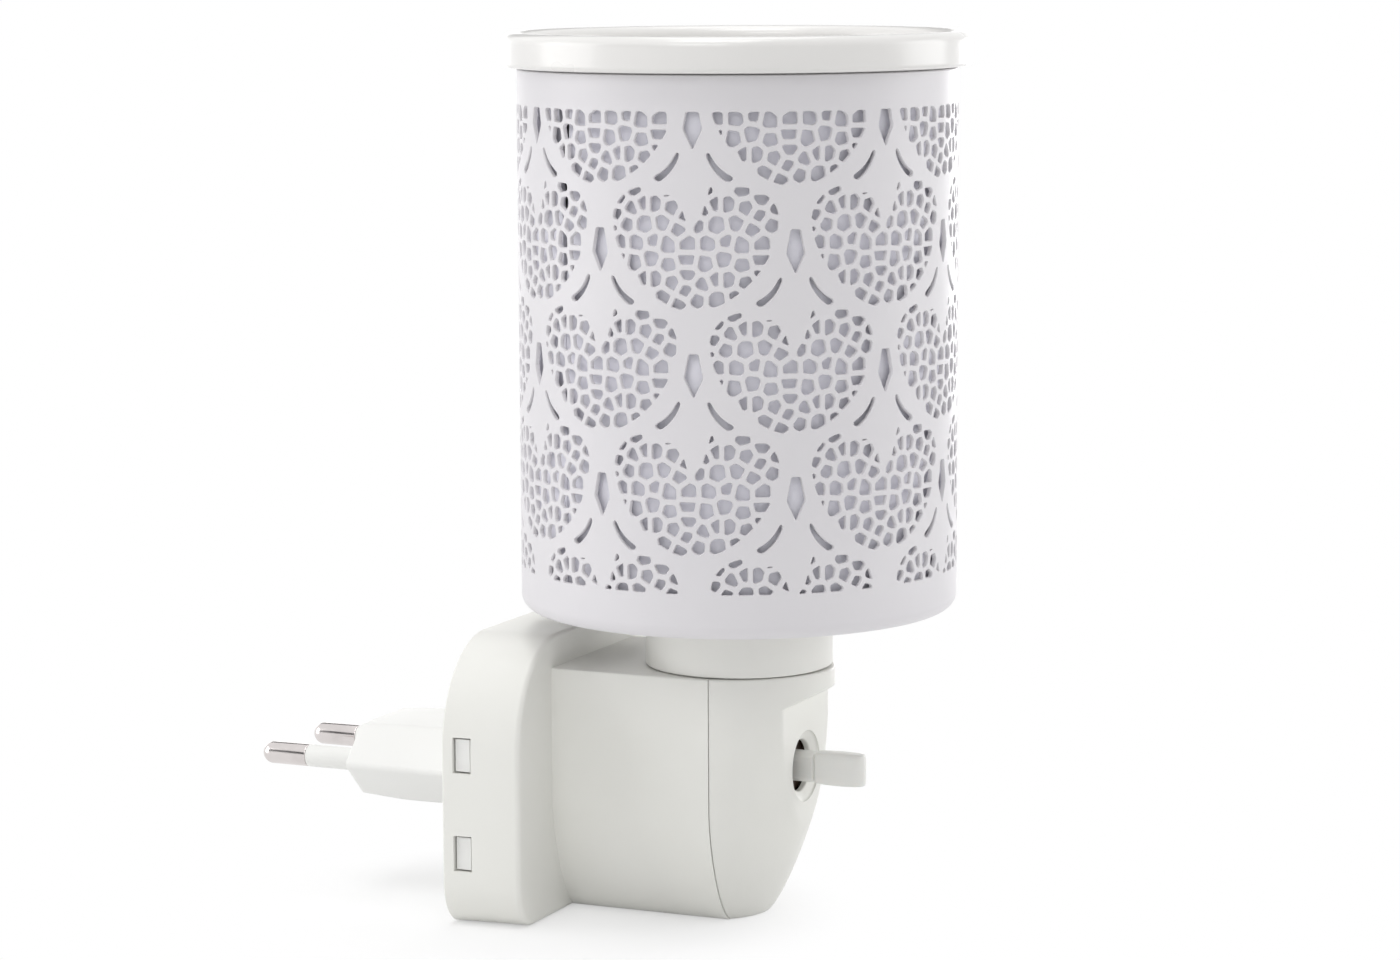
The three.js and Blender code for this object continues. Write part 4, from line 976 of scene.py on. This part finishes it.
def liner():
    """Rolled sheet whose two edges nearly meet below and part toward the top."""
    level = np.linspace(LINER_BOTTOM, LINER_TOP, LINER_LEVELS)
    radius = np.repeat([LINER_RADIUS, LINER_RADIUS - LINER_WALL], LINER_LEVELS)
    height = np.concatenate([level, level[::-1]])
    part = np.clip((height - LINER_PART_FROM) / (LINER_TOP - LINER_PART_FROM), 0, 1)
    gap = np.degrees((LINER_MEET + (LINER_SEAM - LINER_MEET) * part) / LINER_RADIUS)
    share = np.linspace(0, 1, LINER_COLUMNS + 1)[:, None]
    turn = np.radians(LINER_SEAM_TURN + gap / 2 + (360 - gap) * share)
    return solid("liner_roll", loft(about_z(radius, turn, height)))


def dish():
    """Thrown bowl: a shallow hollow, a half-round rim, a square lip and a foot that fits the shade."""
    floor_top = DISH_BOTTOM + DISH_FLOOR
    foot_z = DISH_SEAT - DISH_SPIGOT_DEPTH
    rim_z = DISH_TOP - DISH_RIM_ROUND
    under_radii = (DISH_SPIGOT_RADIUS - DISH_FLOOR_RADIUS, foot_z - DISH_BOTTOM)
    under = arc((DISH_FLOOR_RADIUS, foot_z), under_radii, -90, 0, 14)
    seat = rounded(
        stepped((DISH_SPIGOT_RADIUS, foot_z, DISH_SEAT), (DISH_RADIUS, DISH_SEAT, DISH_TOP)),
        [0, DISH_SEAT_ROUND, DISH_LIP_ROUND, 0], steps=6)[1:-1]
    rim = arc((DISH_RADIUS - DISH_RIM_ROUND, rim_z), DISH_RIM_ROUND, 0, 180, 20)
    hollow_radii = (DISH_RADIUS - DISH_RIM_WIDTH - DISH_FLOOR_RADIUS, rim_z - floor_top)
    hollow = arc((DISH_FLOOR_RADIUS, rim_z), hollow_radii, 0, -90, 20)[1:]
    inside = np.linspace(DISH_FLOOR_RADIUS, 0, 8)[1:, None]
    floor = np.concatenate([inside, np.full_like(inside, floor_top)], 1)
    below = floor[::-1] + [0, DISH_BOTTOM - floor_top]
    profile = np.concatenate([below, under, seat, rim, hollow, floor])
    return solid("glazed_dish", turned(profile, 144))


# Lamp holder and bulb
def lamp_holder():
    """Turned moulding: foot inside the housing, neck, plain collar, and a spigot round the bulb's cap."""
    floor_top = HOLDER_BOTTOM + HOLDER_FLOOR
    corners = stepped(
        (0, HOLDER_BOTTOM), (NECK_FOOT_RADIUS, HOLDER_BOTTOM, NECK_TOP),
        (NECK_RADIUS, NECK_TOP, COLLAR_BOTTOM), (COLLAR_RADIUS, COLLAR_BOTTOM, COLLAR_TOP),
        (SPIGOT_RADIUS, COLLAR_TOP, HOLDER_TOP), (HOLDER_BORE_RADIUS, HOLDER_TOP, floor_top),
        (0, floor_top))
    return solid("holder_collar", turned(rounded(corners, HOLDER_ROUND), 128))


def bulb_cap():
    """Screw cap: a rolled thread, whose height follows the turn, fading out at both ends."""
    turn = full_turn(THREAD_SEGMENTS)
    height = np.linspace(CAP_BOTTOM, CAP_TOP, THREAD_ROWS)[:, None]
    fade = np.clip(np.minimum(height - CAP_BOTTOM, CAP_TOP - height) / THREAD_PITCH, 0, 1)
    wave = 0.5 - 0.5 * np.cos(2 * np.pi * (height - CAP_BOTTOM) / THREAD_PITCH - turn)
    outer = CAP_RADIUS - THREAD_DEPTH * fade * wave
    inner = outer - CAP_WALL
    points = np.concatenate([about_z(outer, turn, height), about_z(inner, turn, height)[::-1]])
    faces = grid_faces(2 * THREAD_ROWS, THREAD_SEGMENTS, wrap_rows=True, wrap_columns=True)
    return solid("threaded_cap", (points.reshape(-1, 3), faces))


def bulb_glass():
    """Blown bulb: a neck, a flared shoulder and a round crown, with an inner wall beside the outer."""
    neck_z = CAP_TOP + GLASS_NECK_SHOWN
    shoulder_z = CAP_TOP + GLASS_RADIUS - GLASS_NECK_RADIUS + GLASS_NECK_SHOWN
    crown_z = GLASS_TOP - GLASS_RADIUS
    bends = [0, GLASS_NECK_BEND, GLASS_SHOULDER_BEND, 0]

    def side(inset):
        neck_radius, radius = GLASS_NECK_RADIUS - inset, GLASS_RADIUS - inset
        corners = stepped((neck_radius, GLASS_BOTTOM, neck_z), (radius, shoulder_z, crown_z))
        crown = arc((0, crown_z), radius, 0, 90, 24)[1:]
        return np.concatenate([rounded(corners, bends, steps=12), crown])

    profile = np.concatenate([side(0), side(GLASS_WALL)[::-1]])
    return solid("blown_bulb", turned(profile, 96, closed=True))


def bulb_stem():
    """Flared glass mount that carries the filament's leads."""
    corners = stepped(
        (0, STEM_BOTTOM), (STEM_FOOT_RADIUS, STEM_BOTTOM, STEM_BOTTOM + STEM_FOOT),
        (STEM_RADIUS, STEM_BOTTOM + STEM_FLARE, STEM_TOP), (0, STEM_TOP))
    bends = [0, STEM_FOOT_ROUND, STEM_FOOT_ROUND, STEM_FLARE_BEND, STEM_TOP_ROUND, 0]
    return solid("stem_mount", turned(rounded(corners, bends, steps=8), 48))


def filament():
    """Two leads and a fine coil between them: a helix carried along a line that dips in the middle."""
    share = np.linspace(0, 1, FILAMENT_TURNS * FILAMENT_TURN_STEPS + 1)
    x = FILAMENT_HALF_SPAN * (2 * share - 1)
    dip = FILAMENT_DIP * (1 - (2 * share - 1) ** 2)
    turn = 2 * np.pi * FILAMENT_TURNS * share
    top = FILAMENT_TOP - 2 * FILAMENT_COIL
    coil = np.stack([x, FILAMENT_COIL * np.sin(turn), top - dip + FILAMENT_COIL * np.cos(turn)], 1)
    foot = np.array([LEAD_HALF_SPACING, 0, FILAMENT_BOTTOM])
    bend = foot + [0, 0, LEAD_STUB]
    tip = np.array([FILAMENT_HALF_SPAN, 0, top + FILAMENT_COIL])
    rise = np.linspace(0, 1, 16)[:, None]
    lead = np.concatenate([[foot], bend + (tip - bend) * rise])
    leads = [swept(lead * [side, 1, 1], LEAD_WIRE, 8) for side in (1, -1)]
    return solid("coiled_filament", joined(swept(coil, FILAMENT_WIRE, 6), *leads))


# Housing
def swell(least, full, z, height, power):
    """Superelliptic growth from the underside's size to the full size at the given height."""
    left = np.clip(1 - z / height, 0, None)
    return least + (full - least) * (1 - left ** power) ** (1 / power)


def side_reach(z):
    return swell(UNDERSIDE_HALF_WIDTH, HOUSING_RADIUS, z, SIDE_CURVE_HEIGHT, SIDE_CURVE_POWER)


def front_reach(z):
    return swell(UNDERSIDE_FRONT_REACH, HOUSING_RADIUS, z, FRONT_CURVE_HEIGHT, FRONT_CURVE_POWER)


def outside_levels():
    """Heights of the housing's rings, close together at bends, and how far its top edge draws in."""
    curve = FRONT_CURVE_HEIGHT * np.linspace(0, 1, 44) ** 2
    recess = np.linspace(FRONT_CURVE_HEIGHT, RECESS_TOP + RECESS_BROW, 44)[1:]
    edge = arc((0, HOUSING_TOP - HOUSING_ROUND), HOUSING_ROUND, 0, 90, 6)
    z = np.concatenate([curve, recess, edge[:, 1]])
    inset = np.concatenate([np.zeros(len(curve) + len(recess)), HOUSING_ROUND - edge[:, 0]])
    return z, inset


def inside_levels():
    z = np.linspace(HOUSING_WALL, HOUSING_TOP - HOUSING_WALL, 24)
    return z, np.full_like(z, HOUSING_WALL)


def tunnel(levels, front_y, back_y):
    """Straight part of the housing: a rectangle in plan at each height."""
    z, inset = levels
    half = side_reach(z) - inset
    x = np.stack([half, half, -half, -half], 1)
    y = np.broadcast_to([front_y, back_y, back_y, front_y], x.shape)
    return loft(np.stack([x, y, np.broadcast_to(z[:, None], x.shape)], -1))


def round_front(levels, back_y):
    """Round front of the housing: half a superellipse in plan at each height, cut flat by the recess.
    Columns crowd toward the recess's edge on both sides and spread evenly across it."""
    z, inset = (value[:, None] for value in levels)
    half, reach = side_reach(z) - inset, front_reach(z) - inset
    limit = RECESS_DEPTH + np.clip(z - RECESS_TOP, 0, None) / RECESS_SLOPE - inset

    def other(share):
        return (1 - np.clip(share, 0, 1) ** FRONT_PLAN_POWER) ** (1 / FRONT_PLAN_POWER)

    start, edge = -back_y / reach, np.minimum(limit / reach, FRONT_PLAN_LIMIT)
    along = start + (edge - start) * np.sin(np.linspace(0, np.pi / 2, 40))
    across = other(edge) * np.linspace(1, 0, 26)[1:]
    x = half * np.concatenate([other(along), across], 1)
    y = smooth_min(reach * np.concatenate([along, other(across)], 1), limit, RECESS_ROUND)
    plan_x = np.concatenate([-x, x[:, -2::-1]], 1)
    plan_y = -np.concatenate([y, y[:, -2::-1]], 1)
    return loft(np.stack([plan_x, plan_y, np.broadcast_to(z, plan_x.shape)], -1))


def neck_hole():
    return turned(rod(NECK_HOLE_RADIUS, HOUSING_TOP - 2 * HOUSING_WALL, HOUSING_TOP + OVERCUT), 64)


def front_cover():
    """Front half: round shell with the flat recess and a countersunk hole for the switch key."""
    mouth, back = -RECESS_DEPTH - OVERCUT, HOUSING_WALL + OVERCUT - RECESS_DEPTH
    corners = stepped(
        (0, mouth), (SWITCH_SINK_RADIUS, mouth, SWITCH_SINK_LEDGE - RECESS_DEPTH),
        (SWITCH_HOLE_RADIUS, SWITCH_SINK_DEPTH - RECESS_DEPTH, back), (0, back))
    rounds = [0, 0, SWITCH_SINK_ROUND, SWITCH_HOLE_ROUND, 0, 0]
    hole = turned_along_y(rounded(corners, rounds), 96, 0, SWITCH_Z)
    shell = solid("front_shell", round_front(outside_levels(), FRONT_SEAM_Y))
    combine(shell, "DIFFERENCE", round_front(inside_levels(), FRONT_CAVITY_Y), hole, neck_hole())
    return shell


def flange_ring(y, inset):
    """Flange outline at one depth: straight sides, small elliptical corners below, large ones above."""
    draft = FLANGE_DRAFT * (y - FLANGE_FRONT_Y) / (FLANGE_BACK_Y - FLANGE_FRONT_Y)
    half = FLANGE_HALF_WIDTH + draft - inset
    low, high = FLANGE_LOWER_CORNER - inset, FLANGE_UPPER_CORNER - inset
    right = np.concatenate([
        arc((half - low[0], inset + low[1]), low, -90, 0, 12),
        arc((half - high[0], FLANGE_TOP - inset - high[1]), high, 0, 90, 28),
    ])
    return upright(np.concatenate([right, right[::-1] * [-1, 1]]), y)


def flange_block(profile):
    """Solid through flange outlines at (depth, inset) pairs."""
    return loft(np.stack([flange_ring(y, inset) for y, inset in profile]))


def window_boxes(gap, inner, outer):
    """Latch windows, or the tabs in them, on both sides of the flange."""
    front, back = FLANGE_BACK_Y - WINDOW_FAR_EDGE + gap, FLANGE_BACK_Y - WINDOW_NEAR_EDGE - gap
    for z in WINDOW_LEVELS:
        low, high = z - WINDOW_HALF_HEIGHT + gap, z + WINDOW_HALF_HEIGHT - gap
        for x0, x1 in ((-outer, -inner), (inner, outer)):
            yield block((x0, front, low), (x1, back, high))


def rear_housing():
    """Back half: tunnel and flange in one, hollow, with four latch windows."""
    edge = arc((FLANGE_FRONT_Y + FLANGE_EDGE, 0), FLANGE_EDGE, 180, 90, 6)
    front = [(y, FLANGE_EDGE - rise) for y, rise in edge]
    flange = flange_block([*front, (FLANGE_BACK_Y - FLANGE_BEVEL, 0), (FLANGE_BACK_Y, FLANGE_BEVEL)])
    cavity_y = FLANGE_FRONT_Y + FLANGE_WALL
    cavity = flange_block([(cavity_y, FLANGE_WALL), (FLANGE_BACK_Y + OVERCUT, FLANGE_WALL)])
    passage = tunnel(inside_levels(), REAR_SEAM_Y - OVERCUT, cavity_y + OVERCUT)
    windows = window_boxes(0, FLANGE_HALF_WIDTH - WINDOW_CUT, FLANGE_HALF_WIDTH + WINDOW_CUT)
    shell = solid("rear_shell", tunnel(outside_levels(), REAR_SEAM_Y, FLANGE_FRONT_Y + OVERCUT))
    combine(shell, "UNION", flange)
    combine(shell, "DIFFERENCE", cavity, passage, neck_hole(), *windows)
    return shell


def plug_ring(y, inset):
    """Plug section: a hexagon with rounded ridges and corners."""
    half, rise = PLUG_HALF_WIDTH - inset, PLUG_HALF_HEIGHT - inset
    flat = half - PLUG_RIDGE
    corners = [(half, 0), (flat, rise), (-flat, rise), (-half, 0), (-flat, -rise), (flat, -rise)]
    radii = [PLUG_RIDGE_ROUND, PLUG_CORNER_ROUND, PLUG_CORNER_ROUND] * 2
    return upright(rounded(corners, radii, closed=True, steps=8), y, PLUG_Z)


def plug_plate():
    """Back plate with its skirt and latch tabs, and the plug body standing on it."""
    inset = FLANGE_WALL + PLATE_GAP
    plate_y = FLANGE_BACK_Y - PLATE_THICKNESS
    skirt_y = plate_y - SKIRT_DEPTH
    skirt_inset = inset + SKIRT_WALL
    plate = solid("plug_moulding", flange_block([
        (skirt_y, inset), (FLANGE_BACK_Y - PLATE_BEVEL, inset), (FLANGE_BACK_Y, inset + PLATE_BEVEL)]))
    hollow = flange_block([(skirt_y - OVERCUT, skirt_inset), (plate_y, skirt_inset)])
    combine(plate, "DIFFERENCE", hollow)
    root = arc((FLANGE_BACK_Y + PLUG_ROOT_ROUND, -PLUG_ROOT_ROUND), PLUG_ROOT_ROUND, 180, 90, 4)
    taper_y = PLUG_FACE_Y - PLUG_TAPER_LENGTH
    nose = arc((PLUG_FACE_Y - PLUG_NOSE_ROUND, 0), PLUG_NOSE_ROUND, 90, 0, 6)
    drawn_in = PLUG_TAPER * (1 - PLUG_NOSE_ROUND / PLUG_TAPER_LENGTH)
    body = [
        (plate_y + PLUG_ROOT_START, -PLUG_ROOT_ROUND), *root,
        (taper_y - PLUG_TAPER_BEND, 0), (taper_y, PLUG_TAPER_START),
        *((y, drawn_in + PLUG_NOSE_ROUND - rise) for y, rise in nose),
    ]
    combine(plate, "UNION", loft(np.stack([plug_ring(y, draw) for y, draw in body])))
    tab_outer = FLANGE_HALF_WIDTH + FLANGE_DRAFT - LATCH_RECESS
    combine(plate, "UNION", *window_boxes(LATCH_GAP, tab_outer - LATCH_DEPTH, tab_outer))
    bore = rod(PIN_BORE_RADIUS, skirt_y, PLUG_FACE_Y + OVERCUT)
    combine(plate, "DIFFERENCE", *(turned_along_y(bore, 32, x, PLUG_Z) for x in (-PIN_X, PIN_X)))
    return plate


def plug_pin(side, x):
    """Round pin: a thin core through the plug, and a thick bare end with a round tip."""
    shoulder_y = SLEEVE_BACK_Y + SLEEVE_GAP
    tip_y = PIN_TIP_Y - PIN_RADIUS
    tip = arc((0, tip_y), PIN_RADIUS, 0, 90, 12)[1:]
    corners = stepped(
        (0, PIN_TAIL_Y), (PIN_CORE_RADIUS, PIN_TAIL_Y, shoulder_y), (PIN_RADIUS, shoulder_y, tip_y))
    shank = rounded(corners, [0, PIN_TAIL_ROUND, 0, PIN_SHOULDER_ROUND, 0], steps=4)
    return solid(f"bare_pin_{side}", turned_along_y(np.concatenate([shank, tip]), 48, x, PLUG_Z))


def pin_sleeve(side, x):
    """Insulating sleeve on a pin's core, up to the bare end."""
    corners = stepped(
        (PIN_BORE_RADIUS, SLEEVE_FRONT_Y), (PIN_RADIUS, SLEEVE_FRONT_Y, SLEEVE_BACK_Y),
        (PIN_BORE_RADIUS, SLEEVE_BACK_Y))
    profile = rounded(corners, SLEEVE_ROUND, closed=True, steps=3)
    return solid(f"sleeve_{side}", turned_along_y(profile, 48, x, PLUG_Z, closed=True))


# Switch
def switch_rotor():
    """Turned drum with a rounded front edge and a socket for the key's shank."""
    rounds = [0, ROTOR_FRONT_ROUND, ROTOR_BACK_ROUND, 0]
    profile = rounded(rod(ROTOR_RADIUS, ROTOR_FRONT_Y, ROTOR_BACK_Y), rounds)
    drum = solid("rotor_drum", turned_along_y(profile, 64, 0, SWITCH_Z))
    half_x, half_z = KEY_STEM_HALF_THICKNESS + KEY_SOCKET_GAP, KEY_STEM_HALF_HEIGHT + KEY_SOCKET_GAP
    combine(drum, "DIFFERENCE", block(
        (-half_x, ROTOR_FRONT_Y - OVERCUT, SWITCH_Z - half_z),
        (half_x, ROTOR_FRONT_Y + KEY_SOCKET_DEPTH, SWITCH_Z + half_z)))
    return drum


def key_ring(y, half_thickness, half_height, ridge):
    """Key section: a squared ellipse, with fine ridges along its flat sides where ridge is above 0."""
    turn = full_turn(KEY_RING_POINTS)
    c, s = np.cos(turn), np.sin(turn)
    x = half_thickness * np.sign(c) * np.abs(c) ** KEY_SQUARENESS
    z = half_height * np.sign(s) * np.abs(s) ** KEY_SQUARENESS
    x = x - ridge * np.sign(c) * (0.5 + 0.5 * np.cos(2 * np.pi * z / RIDGE_PITCH))
    return upright(np.stack([x, z], 1), y, SWITCH_Z)


def switch_key():
    """Turning key: a ridged shank in the rotor, and a slightly swollen paddle whose end is half round
    in plan and nearly square from the side."""
    stem = (KEY_STEM_HALF_THICKNESS, KEY_STEM_HALF_HEIGHT)
    paddle_y = KEY_ROOT_Y - KEY_STEM_SHOWN
    rings = [key_ring(y, *stem, RIDGE_DEPTH) for y in (KEY_TAIL_Y, paddle_y + RIDGES_END)]
    rings.append(key_ring(paddle_y + RIDGES_GONE, *stem, 0))
    length = paddle_y - KEY_END_Y
    for share in 1 - np.linspace(1, 0, KEY_RINGS) ** KEY_RING_CROWDING:
        left = 1 - share
        tip = max(0.0, 1 - left * length / KEY_TIP_LENGTH)
        edge = max(0.0, 1 - left * length / KEY_END_ROUND)
        swelling = KEY_BULGE * (2 * share - 1) ** 2
        shoulder = KEY_END_ROUND * max(0.0, 1 - share / KEY_SHOULDER_SHARE)
        thickness = KEY_HALF_THICKNESS - swelling - shoulder
        thickness *= math.sqrt(1 - KEY_TIP_CLOSING * tip ** 2)
        height = KEY_HALF_HEIGHT - swelling - shoulder - KEY_END_ROUND * (1 - math.sqrt(1 - edge ** 2))
        rings.append(key_ring(paddle_y - length * share, thickness, height, 0))
    return solid("turning_key", loft(np.stack(rings)))


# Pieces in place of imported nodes
dress(shade_wall(), SHADE_COAT, "shade_paint", "shade", "shade_wall")
dress(shade_base(), SHADE_COAT, "shade_paint", "shade", "shade_base")
dress(liner(), LINER_FILM, "liner_sheet", "shade", "diffuser_liner")
dress(dish(), DISH_GLAZE, "dish_glaze", "dish", "dish")
dress(lamp_holder(), BASE_PLASTIC, "base_plastic", "base", "lamp_holder")
dress(bulb_cap(), CAP_METAL, "bulb_metal", "base", "bulb_cap")
dress(bulb_glass(), LAMP_GLASS, "bulb_glass", "base", "bulb_glass")
dress(bulb_stem(), LAMP_GLASS, "bulb_glass", "base", "bulb_stem")
dress(filament(), TUNGSTEN, "steel", "base", "filament")
dress(front_cover(), BASE_PLASTIC, "base_plastic", "base", "front_cover")
dress(rear_housing(), BASE_PLASTIC, "base_plastic", "base", "rear_housing")
dress(plug_plate(), PLUG_PLASTIC, "base_plastic", "base", "plug_plate")
for pin_side, pin_x in (("left", -PIN_X), ("right", PIN_X)):
    dress(plug_pin(pin_side, pin_x), PIN_NICKEL, "pin_metal", "base", f"plug_pin_{pin_side}")
    dress(pin_sleeve(pin_side, pin_x), PLUG_PLASTIC, "base_plastic", "base", f"pin_sleeve_{pin_side}")
dress(switch_rotor(), BAKELITE, "bakelite", "key", "switch_rotor")
dress(switch_key(), KEY_PLASTIC, "key_plastic", "key", "switch_key")

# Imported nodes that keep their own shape
KEPT_NODES = (
    (BRASS, ("pin_terminal_left", "pin_terminal_right", "switch_contact_left", "switch_contact_right")),
    (BRASS, ("bridge_contact", "screw_shell", "shell_rivet", "centre_contact")),
    (STEEL, ("cover_screw_left", "cover_screw_right", "spring_washer")),
    (CAP_METAL, ("bulb_tip",)),
    (BAKELITE, ("bulb_insulator", "switch_body")),
    (BROWN_SHEATH, ("live_wire", "switched_wire")),
    (BLUE_SHEATH, ("neutral_wire",)),
)
for kept_finish, kept_names in KEPT_NODES:
    for kept_name in kept_names:
        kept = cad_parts[kept_name].data
        kept.materials.clear()
        kept.materials.append(kept_finish)


# Stage
def seen_rays(graph):
    """1 for rays that the camera, a mirror or glass sends out, 0 for light between surfaces."""
    path = [graph.node("ShaderNodeLightPath", {}, {}, name)
            for name in ("Is Camera Ray", "Is Glossy Ray", "Is Transmission Ray")]
    return graph.node("ShaderNodeClamp", {}, {0: path[0] + path[1] + path[2]})


def flat_sheet(name, width, depth, level=0.0):
    """One level face about the origin."""
    x, y = width / 2, depth / 2
    corners = [(-x, -y, level), (x, -y, level), (x, y, level), (-x, y, level)]
    return solid(name, (corners, [[0, 1, 2, 3]]))


def pale_floor():
    """Large white sheet that keeps a soft shadow: partly lit and partly plain white to whoever looks at
    it near the lamp, and all white further off."""
    floor = flat_sheet("pale_floor", FLOOR_SIZE, FLOOR_SIZE, -FLOOR_DROP)
    graph = material("floor_sheet")
    lit = graph.node("ShaderNodeBsdfDiffuse", {}, {"Color": (0.9, 0.9, 0.9, 1)})
    white = graph.node("ShaderNodeEmission", {}, {"Color": (1, 1, 1, 1), "Strength": 1.0})
    middle = (FLOOR_SHADOW_X * MM, FLOOR_SHADOW_Y * MM, 0)
    away = graph.node(
        "ShaderNodeVectorMath", {"operation": "DISTANCE"}, {0: graph.place(), 1: middle}, "Value")
    far = graph.node("ShaderNodeMapRange", {"interpolation_type": "SMOOTHSTEP"}, {
        0: away, 1: FLOOR_SHADOW_NEAR * MM, 2: FLOOR_SHADOW_FAR * MM, 3: FLOOR_WHITE, 4: 1.0})
    mixed = graph.node("ShaderNodeMixShader", {}, {0: seen_rays(graph) * far, 1: lit, 2: white})
    floor.data.materials.append(graph.shown(mixed))


def white_world(strength):
    """Plain surroundings that give light of the given strength and look white."""
    world = bpy.data.worlds.new("white_world")
    bpy.context.scene.world = world
    graph = Graph(world)
    shine = strength + (1 - strength) * seen_rays(graph)
    background = graph.node("ShaderNodeBackground", {}, {"Color": (1, 1, 1, 1), "Strength": shine})
    graph.node("ShaderNodeOutputWorld", {}, {"Surface": background})


def camera_axes():
    """Right, up and forward directions of the camera."""
    turn = math.radians(CAMERA_TURN + CAMERA_YAW)
    pitch, roll = math.radians(CAMERA_PITCH), math.radians(CAMERA_ROLL)
    level = math.cos(pitch)
    forward = Vector((math.cos(turn) * level, math.sin(turn) * level, -math.sin(pitch)))
    right = Vector((math.sin(turn), -math.cos(turn), 0))
    up = right.cross(forward)
    turned_right = math.cos(roll) * right + math.sin(roll) * up
    turned_up = -math.sin(roll) * right + math.cos(roll) * up
    return turned_right, turned_up, forward


def camera():
    turn = math.radians(CAMERA_TURN)
    right, up, forward = camera_axes()
    lens = bpy.data.cameras.new("camera")
    lens.sensor_width = SENSOR_WIDTH
    lens.lens = FOCAL_PX * SENSOR_WIDTH / FRAME_WIDTH_PX
    lens.clip_end = CLIP_END_METRES
    eye = bpy.data.objects.new("camera", lens)
    x, y = -CAMERA_DISTANCE * math.cos(turn), -CAMERA_DISTANCE * math.sin(turn)
    axes = Matrix((right, up, -forward)).transposed()
    eye.matrix_world = Matrix.Translation(Vector((x, y, CAMERA_HEIGHT)) * MM) @ axes.to_4x4()
    bpy.context.scene.collection.objects.link(eye)
    bpy.context.scene.camera = eye


def facing(place, aim, axis):
    """Matrix that carries a thing to a place, in millimetres, and turns its axis toward the aim."""
    turn = (aim - place).to_track_quat(axis, "Y").to_matrix().to_4x4()
    return Matrix.Translation(place * MM) @ turn


def softbox(name, place, size, power):
    """Area light aimed at the middle of the lamp. Its place is in millimetres from there: to the
    camera's right, up, and toward the camera."""
    right, up, near = place
    across, _, forward = camera_axes()
    light = bpy.data.lights.new(name, "AREA")
    light.shape = "RECTANGLE"
    light.size, light.size_y = (length * MM for length in size)
    light.energy = power
    lamp = bpy.data.objects.new(name, light)
    middle = LAMP_MIDDLE + across * right + Vector((0, 0, up)) - forward * near
    lamp.matrix_world = facing(middle, LAMP_MIDDLE, "-Z")
    bpy.context.scene.collection.objects.link(lamp)


def dark_card(name, place, size):
    """Dark card out of the picture, seen only as a reflection."""
    card = flat_sheet(name, *size)
    card.data.transform(facing(Vector(place), PINS_MIDDLE, "Z"))
    paper = material(name).surface({"Base Color": (0.03, 0.03, 0.032, 1), "Roughness": 0.9})
    card.data.materials.append(paper)
    card.visible_camera = False
    card.visible_diffuse = False
    card.visible_transmission = False
    card.visible_shadow = False


pale_floor()
white_world(strength=0.54)
camera()
softbox("left_softbox", (-700, 100, 0), (450, 600), power=1.75)
softbox("right_softbox", (760, 120, -150), (450, 600), power=2.1)
softbox("right_rear_softbox", (400, 90, -700), (300, 300), power=1.5)
softbox("top_softbox", (-100, 900, 250), (450, 450), power=2.7)
softbox("top_rear_softbox", (0, 900, -250), (450, 450), power=1.2)
softbox("front_softbox", (-300, 500, 770), (450, 300), power=1.3)
softbox("back_softbox", (0, 60, -800), (1200, 500), power=1.7)
dark_card("high_card", (650, 420, 470), (520, 300))
dark_card("low_card", (-840, 445, 440), (700, 320))
bpy.context.scene.view_settings.view_transform = "Standard"
